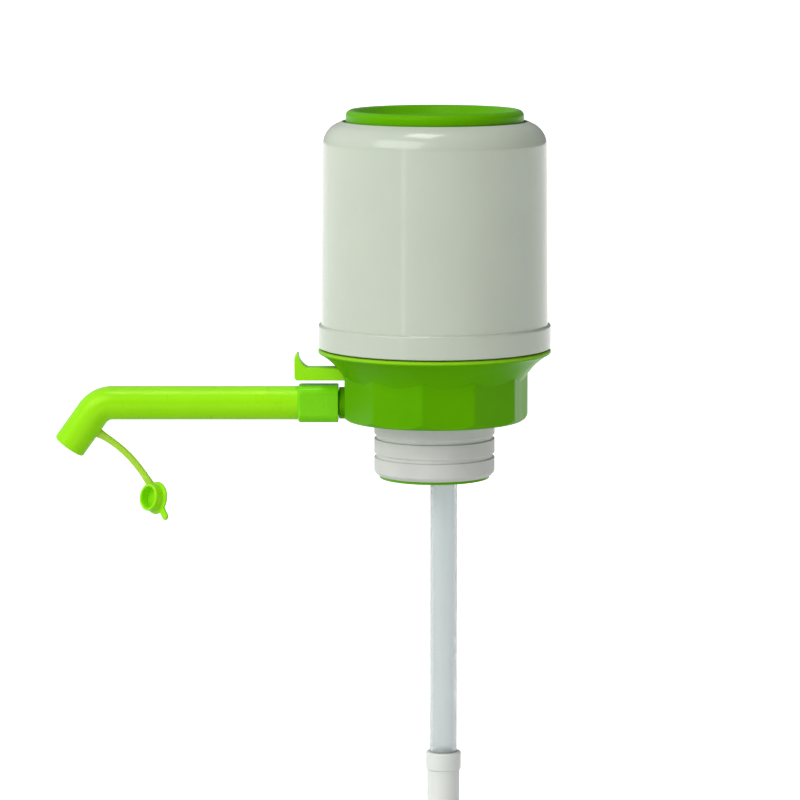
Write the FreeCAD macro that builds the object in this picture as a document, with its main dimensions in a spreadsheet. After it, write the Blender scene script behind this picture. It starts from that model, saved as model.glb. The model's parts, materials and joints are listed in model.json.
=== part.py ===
import FreeCAD, Part
import math
import os

import Sketcher

# Hand pump for a water jug: the press head, its bellows and valves, the swivelling spout
# with its dust plug, the pressure release lever and the dip tube.
#
# Frame, in millimetres: +Z is up along the pump's axis, z = 0 is the underside of the
# base's grip ring, and the spout points along -X.

doc = FreeCAD.newDocument("JugPump")
Vector = FreeCAD.Vector
Rotation = FreeCAD.Rotation
alongSpout = Rotation(Vector(0, 1, 0), -90)      # turns a piece's own +Z to -X
touching = 1e-6                                  # millimetres; two places are one

# ---------------------------------------------------------------- driving dimensions

driving = {
    # how far a cutter runs past the face it opens, and a joined piece sinks into another
    "cutOver": 1.0, "weld": 0.5,
    # grip ring and body of the base
    "gripCorner": 34.9, "gripTurn": 34.8, "gripSides": 11, "gripTop": 18.5, "gripEdge": 2.6,
    "ringWallOuter": 32.9, "ringWallInner": 31.8, "gripBore": 32.0,
    "flareFoot": 33.4, "flareStart": 15.2, "flareEnd": 42.55, "flareTop": 24.75,
    "flareRound": 26.0, "lipRadius": 43.35, "lipTop": 26.6, "lipEdge": 0.4,
    "floorLow": 11.5, "floorHigh": 13.5, "chamberWaist": 15.5, "chamberShoulder": 22.0,
    "chamberRadius": 36.0, "plateSeat": 24.0, "plateBore": 38.4,
    "coverSpigot": 40.9, "spigotTop": 33.5, "beadRise": 0.3, "beadHeight": 30.6,
    "seatInner": 25.5, "seatOuter": 28.2,
    # plug that goes into the jug's neck
    "neckInner": 17.7, "neckOuter": 19.7, "neckLip": 20.6, "neckLow": -22.0, "lipThick": 1.0,
    "sleeveRadius": 22.5, "sleeveChamfer": 1.5, "grooveDepth": 0.8, "grooveWidth": 1.5,
    "grooveLow": -14.0, "groovePitch": 7.0, "grooves": 2, "sleeveGap": 0.02,
    # dip tube and its socket
    "dipOffset": 3.5, "dipRadius": 5.1, "dipBore": 3.9, "bossRadius": 8.2, "bossLow": -9.0,
    "dipTop": 1.5, "socketFit": 0.05, "wellRadius": 3.6, "wellTop": 8.6,
    "dipSealRadius": 6.9, "dipSealHeight": 2.5, "dipLength": 142.0, "couplingWall": 1.5,
    "couplingHalf": 14.0, "couplingEdge": 0.6, "footLength": 12.0, "footEdge": 0.5,
    "footSlot": 3.0, "footSlotRoof": 1.5, "footDepth": 5.0, "tubeEndGap": 0.05,
    # water way to the spout
    "spoutAxis": 6.0, "channelRadius": 4.8, "channelBore": 2.4, "collarRadius": 5.95,
    "collarStart": 33.0, "collarEnd": 35.6, "nippleRadius": 4.68, "nippleEnd": 48.0,
    "sealSeat": 41.0, "sealWidth": 1.9, "sealSeatRadius": 3.25, "sealWire": 0.7,
    # spout
    "spoutRadius": 6.3, "spoutBore": 5.2, "sleeveBore": 4.74, "sleeveStart": 35.8,
    "sleeveEnd": 50.9, "sleeveSide": 13.8, "sleeveCorner": 3.5, "sleeveShoulder": 1.2,
    "sleeveBoreEnd": 49.0, "sleeveLap": 1.5, "boreRunOut": 2.0, "spoutCorner": 124.8,
    "bendRadius": 9.0, "bendAngle": 54.5, "tipRun": 20.3, "tipRound": 0.8,
    # dust plug and its strap
    "strapThick": 1.7, "strapWidth": 2.6, "strapBend": 44.0, "strapGap": 0.15,
    "plugFlange": 6.1, "plugFlangeThick": 1.2, "plugRadius": 5.1, "plugBore": 4.0,
    "plugEdge": 0.3, "plugNose": 0.5, "plugDepth": 4.8, "tabLength": 10.5, "tabWidth": 2.6,
    "tabRoot": 0.6,
    # release lever and valve
    "leverOut": 52.2, "leverLow": 14.8, "leverHigh": 19.5, "leverWidth": 8.0,
    "leverEdge": 0.8, "finHigh": 24.8, "finTip": 1.0, "finSlope": 1.4, "finBack": 47.2,
    "thumbStart": 50.6, "thumbRound": 6.0, "armLow": 5.0, "armHigh": 2.0,
    "pivotReach": 29.0, "pivotHeight": 17.0,
    "pinRadius": 1.2, "pinFit": 0.05, "pinHalf": 7.2, "lugInner": 5.0, "lugHalf": 2.6,
    "lugHigh": 19.4, "slotLow": 14.1, "slotHigh": 19.9, "slotHalf": 4.4, "slotEnd": 28.8,
    "reliefReach": 16.0, "reliefBore": 2.0, "reliefRim": 3.3, "reliefSeat": 14.3,
    "sealDisc": 3.3, "sealThick": 1.2, "stemRadius": 1.5, "stemTail": 1.0, "stemLow": 12.9,
    "stemEdge": 0.3, "stemFlange": 0.7,
    "forkLow": 17.2, "forkHigh": 18.5, "forkEnd": 12.8, "forkStart": 21.0, "forkHalf": 1.8,
    "stemCollar": 3.1, "collarLow": 18.9, "collarHigh": 19.8, "stemTop": 22.3,
    "reliefSpring": 2.4, "reliefWire": 0.3, "reliefCoils": 4,
    # valve plate, its duct and the two valves
    "plateRadius": 38.2, "plateThick": 2.6, "valveReach": 13.4, "ductBore": 3.2,
    "ductRadius": 5.0, "ductLow": 13.6, "ductBox": 8.0, "ductBoxLow": 18.0, "ductCone": 1.0,
    "ductRoom": 6.4, "ductRoomLow": 20.0, "ductCollar": 8.6, "ductSealRadius": 6.8,
    "ductSealHigh": 15.8, "ductCollarHigh": 16.6, "portRadius": 3.0,
    "discRadius": 5.0, "discThick": 1.0, "cageInner": 5.8, "cageOuter": 7.0,
    "cageThick": 1.2, "cageRoom": 2.4, "cageHole": 1.6, "cageSlot": 4.0, "cageSill": 0.6,
    "cageHead": 0.4,
    "stepInner": 3.4, "stepOuter": 6.35, "stepThick": 1.6, "stepSlot": 3.0, "stepFloor": 0.7,
    # bellows, its clamp and the return spring
    "bellowsNeck": 31.4, "bellowsWall": 1.2, "flangeThick": 1.4, "flangeRadius": 37.8,
    "bellowsFold": 36.0, "bellowsWaist": 29.0, "bellowsRise": 32.0, "bellowsStart": 33.0,
    "bellowsEnd": 95.5,
    "bellowsTop": 99.0, "bellowsLid": 1.5, "bellowsFolds": 8, "flangeRelief": 0.5,
    "clampInner": 31.7, "clampThick": 2.0, "clampCircle": 34.2, "clampScrews": 6,
    "clampStart": 30.0,
    "screwShank": 1.25, "screwHead": 2.3, "screwHeadThick": 1.5, "screwLow": 19.6,
    "driverHalf": 0.35, "driverDepth": 0.7,
    "pillarRadius": 2.6, "pillarLow": 14.5, "pillarBury": 0.8, "holeGap": 0.15,
    "springRadius": 24.0, "springWire": 0.9, "springCoils": 9, "springGuide": 22.9,
    "guideThick": 1.4, "guideRise": 2.4,
    "seatPlateRadius": 26.5, "seatPlateThick": 1.6, "seatScrewCircle": 10.0,
    "seatScrews": 3, "seatStart": 90.0, "seatScrewEnd": 106.0,
    # press button
    "buttonRadius": 33.0, "buttonWall": 2.0, "buttonRimTop": 115.3, "rimRound": 2.2,
    "rimInside": 3.7, "buttonDish": 110.9, "dishRadius": 26.8, "dishEdge": 111.7,
    "dishLipRadius": 27.6, "dishLip": 112.6, "buttonUnder": 109.3,
    "buttonLow": 98.0, "stopRadius": 37.0, "stopThick": 2.5, "pressRing": 25.0,
    "bossWall": 3.2,
    # cover
    "bandRadius": 43.3, "coverLow": 27.1, "bandTop": 35.8, "bandEdge": 0.5,
    "coverFoot": 42.2, "coverHead": 41.6, "shoulderLow": 102.8, "shoulderRound": 8.0,
    "shoulderRadius": 37.7, "shoulderHigh": 109.6, "coverTop": 111.3,
    "coverMouth": 34.2, "mouthEdge": 0.4, "coverWall": 2.0, "guideLow": 100.8,
    "guideWall": 1.8, "coverSocket": 41.2, "socketTop": 34.5,
}

sheet = doc.addObject("Spreadsheet::Sheet", "Dims")
for row, (alias, number) in enumerate(driving.items(), start=1):
    sheet.set(f"A{row}", alias)
    sheet.set(f"B{row}", str(number))
    sheet.setAlias(f"B{row}", alias)
doc.recompute()


class Size:
    """A dimension worked out from the sheet: its value, and the expression that binds it."""

    def __init__(self, number, text):
        self.number = number
        self.text = text

    def joined(self, sign, other, number):
        return Size(number, f"({self.text} {sign} {size(other).text})")

    def __add__(self, other):
        return self.joined("+", other, self.number + size(other).number)

    def __sub__(self, other):
        return self.joined("-", other, self.number - size(other).number)

    def __mul__(self, other):
        return self.joined("*", other, self.number * size(other).number)

    def __truediv__(self, other):
        return self.joined("/", other, self.number / size(other).number)

    def __neg__(self):
        return size(0) - self


def size(value):
    """A plain number as a Size; a Size stays as it is."""
    return value if isinstance(value, Size) else Size(float(value), f"{float(value):.6f}")


class Sheet:
    """Reads an alias of the sheet as an attribute."""

    def __getattr__(self, alias):
        return Size(driving[alias], f"Dims.{alias}")


dim = Sheet()


def bind(thing, prop, value):
    thing.setExpression(prop, size(value).text)


def place(thing, x=0, y=0, z=0, turn=None):
    """Puts a piece at a point whose coordinates stay bound to the sheet."""
    thing.Placement = FreeCAD.Placement(Vector(0, 0, 0), turn or Rotation())
    for prop, value in (("x", x), ("y", y), ("z", z)):
        bind(thing, f"Placement.Base.{prop}", value)
    return thing


# ---------------------------------------------------------------- ways of making a piece

def closedSketch(holder, name, plane, outline):
    """A closed outline of (across, up) points; a third value makes the edge that leaves
    the point an arc of that radius, bulging to its left where it is positive."""
    sketch = holder.newObject("Sketcher::SketchObject", name)
    origin = [item for item in holder.Origin.OriginFeatures if item.Role == plane][0]
    sketch.AttachmentSupport = [(origin, "")]
    sketch.MapMode = "FlatFace"
    places = [(size(point[0]), size(point[1])) for point in outline]
    corners = [Vector(across.number, up.number, 0) for across, up in places]
    for index, point in enumerate(outline):
        start = corners[index]
        end = corners[(index + 1) % len(corners)]
        if len(point) == 2:
            sketch.addGeometry(Part.LineSegment(start, end))
        else:
            sketch.addGeometry(arcBetween(start, end, size(point[2]).number))
    rules = []
    for index, point in enumerate(outline):
        first, last = edgeEnds(sketch, outline, corners, index)
        if len(point) == 3:
            bound = size(point[2]) if size(point[2]).number > 0 else -size(point[2])
            rules.append((Sketcher.Constraint("Radius", index, bound.number), bound))
        for kind, value in zip(("DistanceX", "DistanceY"), places[index]):
            rules.append((Sketcher.Constraint(kind, -1, 1, index, first, value.number), value))
        after = (index + 1) % len(outline)
        joint = edgeEnds(sketch, outline, corners, after)[0]
        rules.append((Sketcher.Constraint("Coincident", index, last, after, joint), None))
    sketch.addConstraint([rule for rule, _ in rules])
    for held, (_, value) in enumerate(rules):
        if value is not None:
            sketch.setExpression(f"Constraints[{held}]", value.text)
    return sketch


def arcBetween(start, end, radius):
    """The shorter arc between two points, always drawn anticlockwise."""
    chord = end - start
    reach = math.sqrt(radius ** 2 - (chord.Length / 2) ** 2)
    left = Vector(-chord.y, chord.x, 0).normalize() * math.copysign(reach, radius)
    centre = (start + end) / 2 - left
    first, last = (end, start) if radius > 0 else (start, end)
    angles = [math.atan2(point.y - centre.y, point.x - centre.x) for point in (first, last)]
    if angles[1] < angles[0]:
        angles[1] += 2 * math.pi
    circle = Part.Circle(centre, Vector(0, 0, 1), abs(radius))
    return Part.ArcOfCircle(circle, angles[0], angles[1])


def edgeEnds(sketch, outline, corners, index):
    """Which of an edge's ends, 1 or 2, lies at its own point, and which at the next one."""
    if len(outline[index]) == 2:
        return 1, 2
    arc = sketch.Geometry[index]
    return (1, 2) if arc.StartPoint.isEqual(corners[index], touching) else (2, 1)


def turned(name, outline):
    """A body turned about its own Z axis from a closed (radius, height) outline."""
    body = doc.addObject("PartDesign::Body", name)
    sketch = closedSketch(body, name + "Section", "XZ_Plane", outline)
    turn = body.newObject("PartDesign::Revolution", name + "Turn")
    turn.Profile = sketch
    turn.ReferenceAxis = (sketch, ["V_Axis"])
    turn.Angle = 360
    return body


def ring(name, inner, outer, low, high):
    return turned(name, [(inner, low), (outer, low), (outer, high), (inner, high)])


def padded(name, outline, width):
    """A body padded to both sides of the XZ plane from a closed (x, z) outline."""
    body = doc.addObject("PartDesign::Body", name)
    sketch = closedSketch(body, name + "Side", "XZ_Plane", outline)
    pad = body.newObject("PartDesign::Pad", name + "Pad")
    pad.Profile = sketch
    pad.SideType = "Symmetric"
    bind(pad, "Length", width)
    return body


def cylinder(name, radius, low, high, x=0, y=0, turn=None):
    """A round bar from low to high on its own axis, which starts at (x, y)."""
    bar = doc.addObject("Part::Cylinder", name)
    bind(bar, "Radius", radius)
    bind(bar, "Height", size(high) - size(low))
    if turn is None:
        return place(bar, x, y, low)
    axis = turn.multVec(Vector(0, 0, 1))
    shift = [size(low) * round(part) for part in (axis.x, axis.y, axis.z)]
    return place(bar, shift[0] + x, shift[1] + y, shift[2] + dim.spoutAxis, turn)


def block(name, low, high):
    """A box between two corners."""
    box = doc.addObject("Part::Box", name)
    for prop, first, last in zip(("Length", "Width", "Height"), low, high):
        bind(box, prop, size(last) - size(first))
    return place(box, *low)


def joinAll(name, pieces):
    fuse = doc.addObject("Part::MultiFuse", name)
    fuse.Shapes = pieces
    fuse.Refine = True
    return fuse


def cutAway(name, solid, tools):
    tool = tools[0] if len(tools) == 1 else joinAll(name + "Tools", tools)
    cut = doc.addObject("Part::Cut", name)
    cut.Base = solid
    cut.Tool = tool
    return cut


def onCircle(count, radius, start):
    """Evenly spaced (x, y) places on a circle, bound to its radius."""
    for index in range(count):
        angle = math.radians(start + 360.0 * index / count)
        yield radius * math.cos(angle), radius * math.sin(angle)


def clampPlaces():
    """Where the screws that hold the bellows' clamp ring stand."""
    return onCircle(driving["clampScrews"], dim.clampCircle, driving["clampStart"])


def seatPlaces():
    """Where the screws that hold the spring seat under the button stand."""
    return onCircle(driving["seatScrews"], dim.seatScrewCircle, driving["seatStart"])


def coil(name, radius, wire, low, high, coils):
    """A closed coil spring of round wire between two heights."""
    pitch = (high.number - low.number - 2 * wire.number) / coils.number
    path = Part.makeHelix(pitch, pitch * coils.number, radius.number)
    start = Part.Wire(Part.makeCircle(wire.number, Vector(radius.number, 0, 0), Vector(0, 1, 0)))
    spring = doc.addObject("Part::Feature", name)
    spring.Shape = Part.Wire(path.Edges).makePipeShell([start], True, True)
    return place(spring, 0, 0, low + wire)


nodes = {}


def keep(label, thing):
    """Registers a finished piece under its node's name."""
    thing.Label = label
    nodes[label] = thing
    return thing


# ---------------------------------------------------------------- base

def neckPlugSection():
    """Outer steps of the plug below the floor, from its bore outwards."""
    return [(dim.neckInner, dim.floorLow), (dim.neckInner, dim.neckLow),
            (dim.neckLip, dim.neckLow), (dim.neckLip, dim.neckLow + dim.lipThick),
            (dim.neckOuter, dim.neckLow + dim.lipThick), (dim.neckOuter, dim.floorLow)]


def makeBase():
    prism = doc.addObject("Part::Prism", "GripPrism")
    prism.Polygon = driving["gripSides"]
    bind(prism, "Circumradius", dim.gripCorner)
    bind(prism, "Height", dim.gripTop)
    envelope = turned("GripEnvelope", [
        (dim.gripBore, 0), (dim.gripTurn - dim.gripEdge, 0, -dim.gripEdge),
        (dim.gripTurn, dim.gripEdge), (dim.gripTurn, dim.gripTop),
        (dim.gripBore, dim.gripTop)])
    grip = doc.addObject("Part::Common", "Grip")
    grip.Base = prism
    grip.Tool = envelope

    shell = turned("BaseShell", neckPlugSection() + [
        (dim.seatInner, dim.floorLow), (dim.seatInner, 0), (dim.seatOuter, 0),
        (dim.seatOuter, dim.floorLow), (dim.ringWallInner, dim.floorLow),
        (dim.ringWallInner, 0), (dim.ringWallOuter, 0), (dim.ringWallOuter, dim.flareStart),
        (dim.flareFoot, dim.flareStart, dim.flareRound), (dim.flareEnd, dim.flareTop),
        (dim.lipRadius, dim.flareTop + dim.lipEdge), (dim.lipRadius, dim.lipTop - dim.lipEdge),
        (dim.lipRadius - dim.lipEdge, dim.lipTop), (dim.coverSpigot, dim.lipTop),
        (dim.coverSpigot, dim.beadHeight - dim.beadRise),
        (dim.coverSpigot + dim.beadRise, dim.beadHeight),
        (dim.coverSpigot, dim.beadHeight + dim.beadRise),
        (dim.coverSpigot, dim.spigotTop), (dim.plateBore, dim.spigotTop),
        (dim.plateBore, dim.plateSeat), (dim.chamberRadius, dim.plateSeat),
        (dim.chamberRadius, dim.chamberShoulder), (dim.ringWallInner, dim.chamberWaist),
        (dim.ringWallInner, dim.floorHigh), (0, dim.floorHigh), (0, dim.floorLow)])

    boss = cylinder("DipBoss", dim.bossRadius, dim.bossLow, dim.floorLow + dim.weld, x=dim.dipOffset)
    nipple = turned("SpoutNipple", [
        (0, -dim.dipOffset), (dim.channelRadius, -dim.dipOffset),
        (dim.channelRadius, dim.collarStart), (dim.collarRadius, dim.collarStart),
        (dim.collarRadius, dim.collarEnd), (dim.nippleRadius, dim.collarEnd),
        (dim.nippleRadius, dim.sealSeat), (dim.sealSeatRadius, dim.sealSeat),
        (dim.sealSeatRadius, dim.sealSeat + dim.sealWidth),
        (dim.nippleRadius, dim.sealSeat + dim.sealWidth),
        (dim.nippleRadius, dim.nippleEnd), (0, dim.nippleEnd)])
    place(nipple, z=dim.spoutAxis, turn=alongSpout)

    floorIn = dim.floorHigh - dim.weld
    ductCollar = cylinder("DuctCollar", dim.ductCollar, floorIn, dim.ductCollarHigh,
                          y=dim.valveReach)
    reliefRim = cylinder("ReliefRim", dim.reliefRim, floorIn, dim.reliefSeat,
                         x=-dim.reliefReach)
    lugs = []
    for side, low, high in (("Left", dim.lugInner, dim.pinHalf),
                            ("Right", -dim.pinHalf, -dim.lugInner)):
        lugs.append(block("Lug" + side, (-dim.pivotReach - dim.lugHalf, low, floorIn),
                          (-dim.pivotReach + dim.lugHalf, high, dim.lugHigh)))
    pillars = []
    for index, (x, y) in enumerate(clampPlaces()):
        pillars.append(cylinder(f"Pillar{index}", dim.pillarRadius, dim.pillarLow,
                                dim.plateSeat, x, y))
    pillarTrim = turned("PillarTrim", [
        (0, floorIn), (dim.ringWallInner + dim.pillarBury, floorIn),
        (dim.ringWallInner + dim.pillarBury, dim.chamberWaist),
        (dim.chamberRadius + dim.pillarBury, dim.chamberShoulder),
        (dim.chamberRadius + dim.pillarBury, dim.plateSeat), (0, dim.plateSeat)])
    innerPillars = doc.addObject("Part::Common", "InnerPillars")
    innerPillars.Base = joinAll("PillarSet", pillars)
    innerPillars.Tool = pillarTrim
    solid = joinAll("BaseSolid", [shell, grip, boss, nipple, ductCollar, reliefRim]
                    + lugs + [innerPillars])

    over = dim.cutOver
    tools = [
        cylinder("DipSocket", dim.dipRadius + dim.socketFit, dim.bossLow - over, dim.dipTop,
                 x=dim.dipOffset),
        cylinder("DipSealSocket", dim.dipSealRadius, dim.bossLow - over,
                 dim.bossLow + dim.dipSealHeight, x=dim.dipOffset),
        cylinder("WaterWell", dim.wellRadius, dim.dipTop - over, dim.wellTop,
                 x=dim.dipOffset),
        cylinder("WaterWay", dim.channelBore, -dim.dipOffset, dim.nippleEnd + over,
                 turn=alongSpout),
        cylinder("DuctSocket", dim.ductSealRadius, dim.floorHigh, dim.ductCollarHigh + over,
                 y=dim.valveReach),
        cylinder("DuctHole", dim.ductBore, dim.floorLow - over, dim.floorHigh + over,
                 y=dim.valveReach),
        cylinder("ReliefHole", dim.reliefBore, dim.floorLow - over, dim.reliefSeat + over,
                 x=-dim.reliefReach),
        block("LeverSlot", (-dim.lipRadius, -dim.slotHalf, dim.slotLow),
              (-dim.slotEnd, dim.slotHalf, dim.slotHigh)),
        pivotBar("PinHoles", dim.pinRadius, dim.pinHalf + over),
    ]
    for index, (x, y) in enumerate(clampPlaces()):
        tools.append(cylinder(f"PillarHole{index}", dim.screwShank, dim.screwLow,
                              dim.plateSeat + over, x, y))
    keep("base", cutAway("Base", solid, tools))


def pivotBar(name, radius, half):
    """A round bar along Y on the lever's pivot."""
    bar = doc.addObject("Part::Cylinder", name)
    bind(bar, "Radius", radius)
    bind(bar, "Height", half * 2)
    return place(bar, -dim.pivotReach, -half, dim.pivotHeight,
                 Rotation(Vector(1, 0, 0), -90))


# ---------------------------------------------------------------- jug neck and dip tube

def makeNeckSleeve():
    inner = dim.neckOuter + dim.sleeveGap
    low = dim.neckLow + dim.lipThick
    outline = [(inner, low), (dim.sleeveRadius - dim.sleeveChamfer, low),
               (dim.sleeveRadius, low + dim.sleeveChamfer)]
    for groove in range(driving["grooves"]):
        start = dim.grooveLow + dim.groovePitch * groove
        floor = dim.sleeveRadius - dim.grooveDepth
        outline += [(dim.sleeveRadius, start), (floor, start),
                    (floor, start + dim.grooveWidth),
                    (dim.sleeveRadius, start + dim.grooveWidth)]
    outline += [(dim.sleeveRadius, 0), (inner, 0)]
    keep("neck_sleeve", turned("NeckSleeve", outline))


def makeDipTube():
    seal = ring("DipTubeSeal", dim.dipRadius + dim.sleeveGap, dim.dipSealRadius,
                dim.bossLow, dim.bossLow + dim.dipSealHeight)
    keep("dip_tube_seal", place(seal, x=dim.dipOffset))

    top = dim.dipTop
    for index, part in enumerate(("upper", "middle", "lower")):
        tube = ring("DipTube" + part.title(), dim.dipBore, dim.dipRadius,
                    top - dim.dipLength, top)
        keep("dip_tube_" + part, place(tube, x=dim.dipOffset))
        top = top - dim.dipLength
        if part == "lower":
            break
        inner = dim.dipRadius + dim.sleeveGap
        outer = inner + dim.couplingWall
        name = ("upper", "lower")[index]
        low = top - dim.couplingHalf
        high = top + dim.couplingHalf
        edge = dim.couplingEdge
        sleeve = turned("DipCoupling" + name.title(), [
            (inner, low), (outer - edge, low), (outer, low + edge), (outer, high - edge),
            (outer - edge, high), (inner, high)])
        keep("dip_coupling_" + name, place(sleeve, x=dim.dipOffset))
    makeIntakeFoot(top)


def makeIntakeFoot(tubeEnd):
    """A push-on foot with a slotted rim, so that the tube never seals on the jug's floor."""
    inner = dim.dipRadius + dim.sleeveGap
    outer = inner + dim.couplingWall
    low = tubeEnd - dim.footDepth
    step = tubeEnd - dim.tubeEndGap
    body = place(turned("FootBody", [
        (dim.dipBore, low), (outer - dim.footEdge, low), (outer, low + dim.footEdge),
        (outer, low + dim.footLength), (inner, low + dim.footLength),
        (inner, step), (dim.dipBore, step)]), x=dim.dipOffset)
    half = dim.footSlot / 2
    reach = outer + dim.cutOver
    roof = tubeEnd - dim.footSlotRoof
    across = block("FootSlotX", (dim.dipOffset - reach, -half, low - dim.cutOver),
                   (dim.dipOffset + reach, half, roof))
    along = block("FootSlotY", (dim.dipOffset - half, -reach, low - dim.cutOver),
                  (dim.dipOffset + half, reach, roof))
    keep("intake_foot", cutAway("IntakeFoot", body, [across, along]))


# ---------------------------------------------------------------- valve plate and valves

def makeValvePlate():
    low = dim.plateSeat
    high = low + dim.plateThick
    guide = high + dim.guideRise
    disc = turned("PlateDisc", [
        (0, low), (dim.plateRadius, low), (dim.plateRadius, high),
        (dim.springGuide, high), (dim.springGuide, guide),
        (dim.springGuide - dim.guideThick, guide), (dim.springGuide - dim.guideThick, high),
        (0, high)])
    duct = place(turned("PlateDuct", [
        (dim.ductBore, dim.ductLow), (dim.ductRadius, dim.ductLow),
        (dim.ductRadius, dim.ductBoxLow), (dim.ductBox, dim.ductBoxLow + dim.ductCone),
        (dim.ductBox, low + dim.weld), (dim.ductRoom, low + dim.weld),
        (dim.ductRoom, dim.ductRoomLow), (dim.ductBore, dim.ductRoomLow)]),
        y=dim.valveReach)
    room = cylinder("DuctRoom", dim.ductRoom, dim.ductRoomLow, low, y=dim.valveReach)
    solid = cutAway("PlateOpened", joinAll("PlateSolid", [disc, duct]), [room])
    tools = []
    for name, side in (("Delivery", dim.valveReach), ("Intake", -dim.valveReach)):
        tools.append(cylinder(name + "Port", dim.portRadius, low - dim.cutOver,
                              high + dim.cutOver, y=side))
    for index, (x, y) in enumerate(clampPlaces()):
        tools.append(cylinder(f"PlateHole{index}", dim.screwShank + dim.holeGap,
                              low - dim.cutOver, high + dim.cutOver, x, y))
    keep("valve_plate", cutAway("ValvePlate", solid, tools))

    seal = ring("DuctSeal", dim.ductRadius + dim.sleeveGap, dim.ductSealRadius - dim.sleeveGap,
                dim.floorHigh, dim.ductSealHigh)
    keep("duct_seal", place(seal, y=dim.valveReach))


def crossSlots(name, reach, half, low, high, y):
    """Two crossing bars that open four windows in a cage."""
    return [block(name + "X", (-reach, y - half, low), (reach, y + half, high)),
            block(name + "Y", (-half, y - reach, low), (half, y + reach, high))]


def makeValves():
    top = dim.plateSeat + dim.plateThick
    roof = top + dim.cageRoom
    cage = place(turned("IntakeCageBody", [
        (dim.cageInner, top), (dim.cageOuter, top), (dim.cageOuter, roof + dim.cageThick),
        (dim.cageHole, roof + dim.cageThick), (dim.cageHole, roof),
        (dim.cageInner, roof)]), y=-dim.valveReach)
    windows = crossSlots("IntakeWindow", dim.cageOuter + dim.cutOver, dim.cageSlot / 2,
                         top + dim.cageSill, roof - dim.cageHead, -dim.valveReach)
    keep("intake_valve_cage", cutAway("IntakeCage", cage, windows))
    keep("intake_valve_disc", cylinder("IntakeDisc", dim.discRadius, top,
                                       top + dim.discThick, y=-dim.valveReach))

    step = dim.ductRoomLow + dim.stepThick
    stepRing = place(ring("DeliveryCageBody", dim.stepInner, dim.stepOuter,
                          dim.ductRoomLow, step), y=dim.valveReach)
    notches = crossSlots("DeliveryNotch", dim.stepOuter + dim.cutOver, dim.stepSlot / 2,
                         dim.ductRoomLow + dim.stepFloor, step + dim.cutOver,
                         dim.valveReach)
    keep("delivery_valve_cage", cutAway("DeliveryCage", stepRing, notches))
    keep("delivery_valve_disc", cylinder("DeliveryDisc", dim.discRadius, step,
                                         step + dim.discThick, y=dim.valveReach))


# ---------------------------------------------------------------- bellows and button

def makeBellows():
    plateTop = dim.plateSeat + dim.plateThick
    wall = dim.bellowsWall
    pitch = (dim.bellowsEnd - dim.bellowsStart) / dim.bellowsFolds
    folds = []
    for fold in range(driving["bellowsFolds"]):
        foot = dim.bellowsStart + pitch * fold
        folds += [(dim.bellowsWaist, foot), (dim.bellowsFold, foot + pitch / 2)]
    folds.append((dim.bellowsWaist, dim.bellowsEnd))
    outer = [(dim.flangeRadius, plateTop), (dim.flangeRadius, plateTop + dim.flangeThick),
             (dim.bellowsNeck, plateTop + dim.flangeThick),
             (dim.bellowsNeck, dim.bellowsRise)] + folds
    lid = dim.bellowsTop - dim.bellowsLid
    inner = [(radius - wall, height) for radius, height in reversed(folds)]
    outline = outer + [(dim.bellowsWaist, dim.bellowsTop), (0, dim.bellowsTop), (0, lid),
                       (dim.bellowsWaist - wall, lid)] + inner
    outline += [(dim.bellowsNeck - wall, dim.bellowsRise),
                (dim.bellowsNeck - wall, plateTop)]
    body = turned("BellowsBody", outline)
    holes = []
    for index, (x, y) in enumerate(clampPlaces()):
        holes.append(cylinder(f"FlangeHole{index}", dim.screwShank + dim.holeGap,
                              plateTop - dim.cutOver,
                              plateTop + dim.flangeThick + dim.flangeRelief, x, y))
    for index, (x, y) in enumerate(seatPlaces()):
        holes.append(cylinder(f"LidHole{index}", dim.screwShank + dim.holeGap,
                              lid - dim.cutOver, dim.bellowsTop + dim.cutOver, x, y))
    keep("bellows", cutAway("Bellows", body, holes))


def screwSet(name, places, headLow, headHigh, shankEnd):
    """Slotted screws; the shank runs from the head to shankEnd, up or down."""
    pieces = []
    low, high = headLow, shankEnd
    if shankEnd.number < headLow.number:
        low, high = shankEnd, headHigh
    for index, (x, y) in enumerate(places):
        head = cylinder(f"{name}Head{index}", dim.screwHead, headLow, headHigh, x, y)
        shank = cylinder(f"{name}Shank{index}", dim.screwShank, low, high, x, y)
        screw = joinAll(f"{name}Whole{index}", [head, shank])
        reach = dim.screwHead + dim.cutOver
        if shankEnd.number < headLow.number:
            foot, roof = headHigh - dim.driverDepth, headHigh + dim.cutOver
        else:
            foot, roof = headLow - dim.cutOver, headLow + dim.driverDepth
        slot = block(f"{name}Slot{index}", (x - reach, y - dim.driverHalf, foot),
                     (x + reach, y + dim.driverHalf, roof))
        pieces.append(cutAway(f"{name}{index}", screw, [slot]))
    group = doc.addObject("Part::Compound", name + "Set")
    group.Links = pieces
    return group


def makeClamp():
    low = dim.plateSeat + dim.plateThick + dim.flangeThick
    high = low + dim.clampThick
    body = ring("ClampBody", dim.clampInner, dim.flangeRadius, low, high)
    holes = []
    for index, (x, y) in enumerate(clampPlaces()):
        holes.append(cylinder(f"ClampHole{index}", dim.screwShank + dim.holeGap,
                              low - dim.cutOver, high + dim.cutOver, x, y))
    keep("bellows_clamp_ring", cutAway("ClampRing", body, holes))
    keep("clamp_screws", screwSet("ClampScrew", clampPlaces(), high,
                                  high + dim.screwHeadThick, dim.screwLow))


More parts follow.
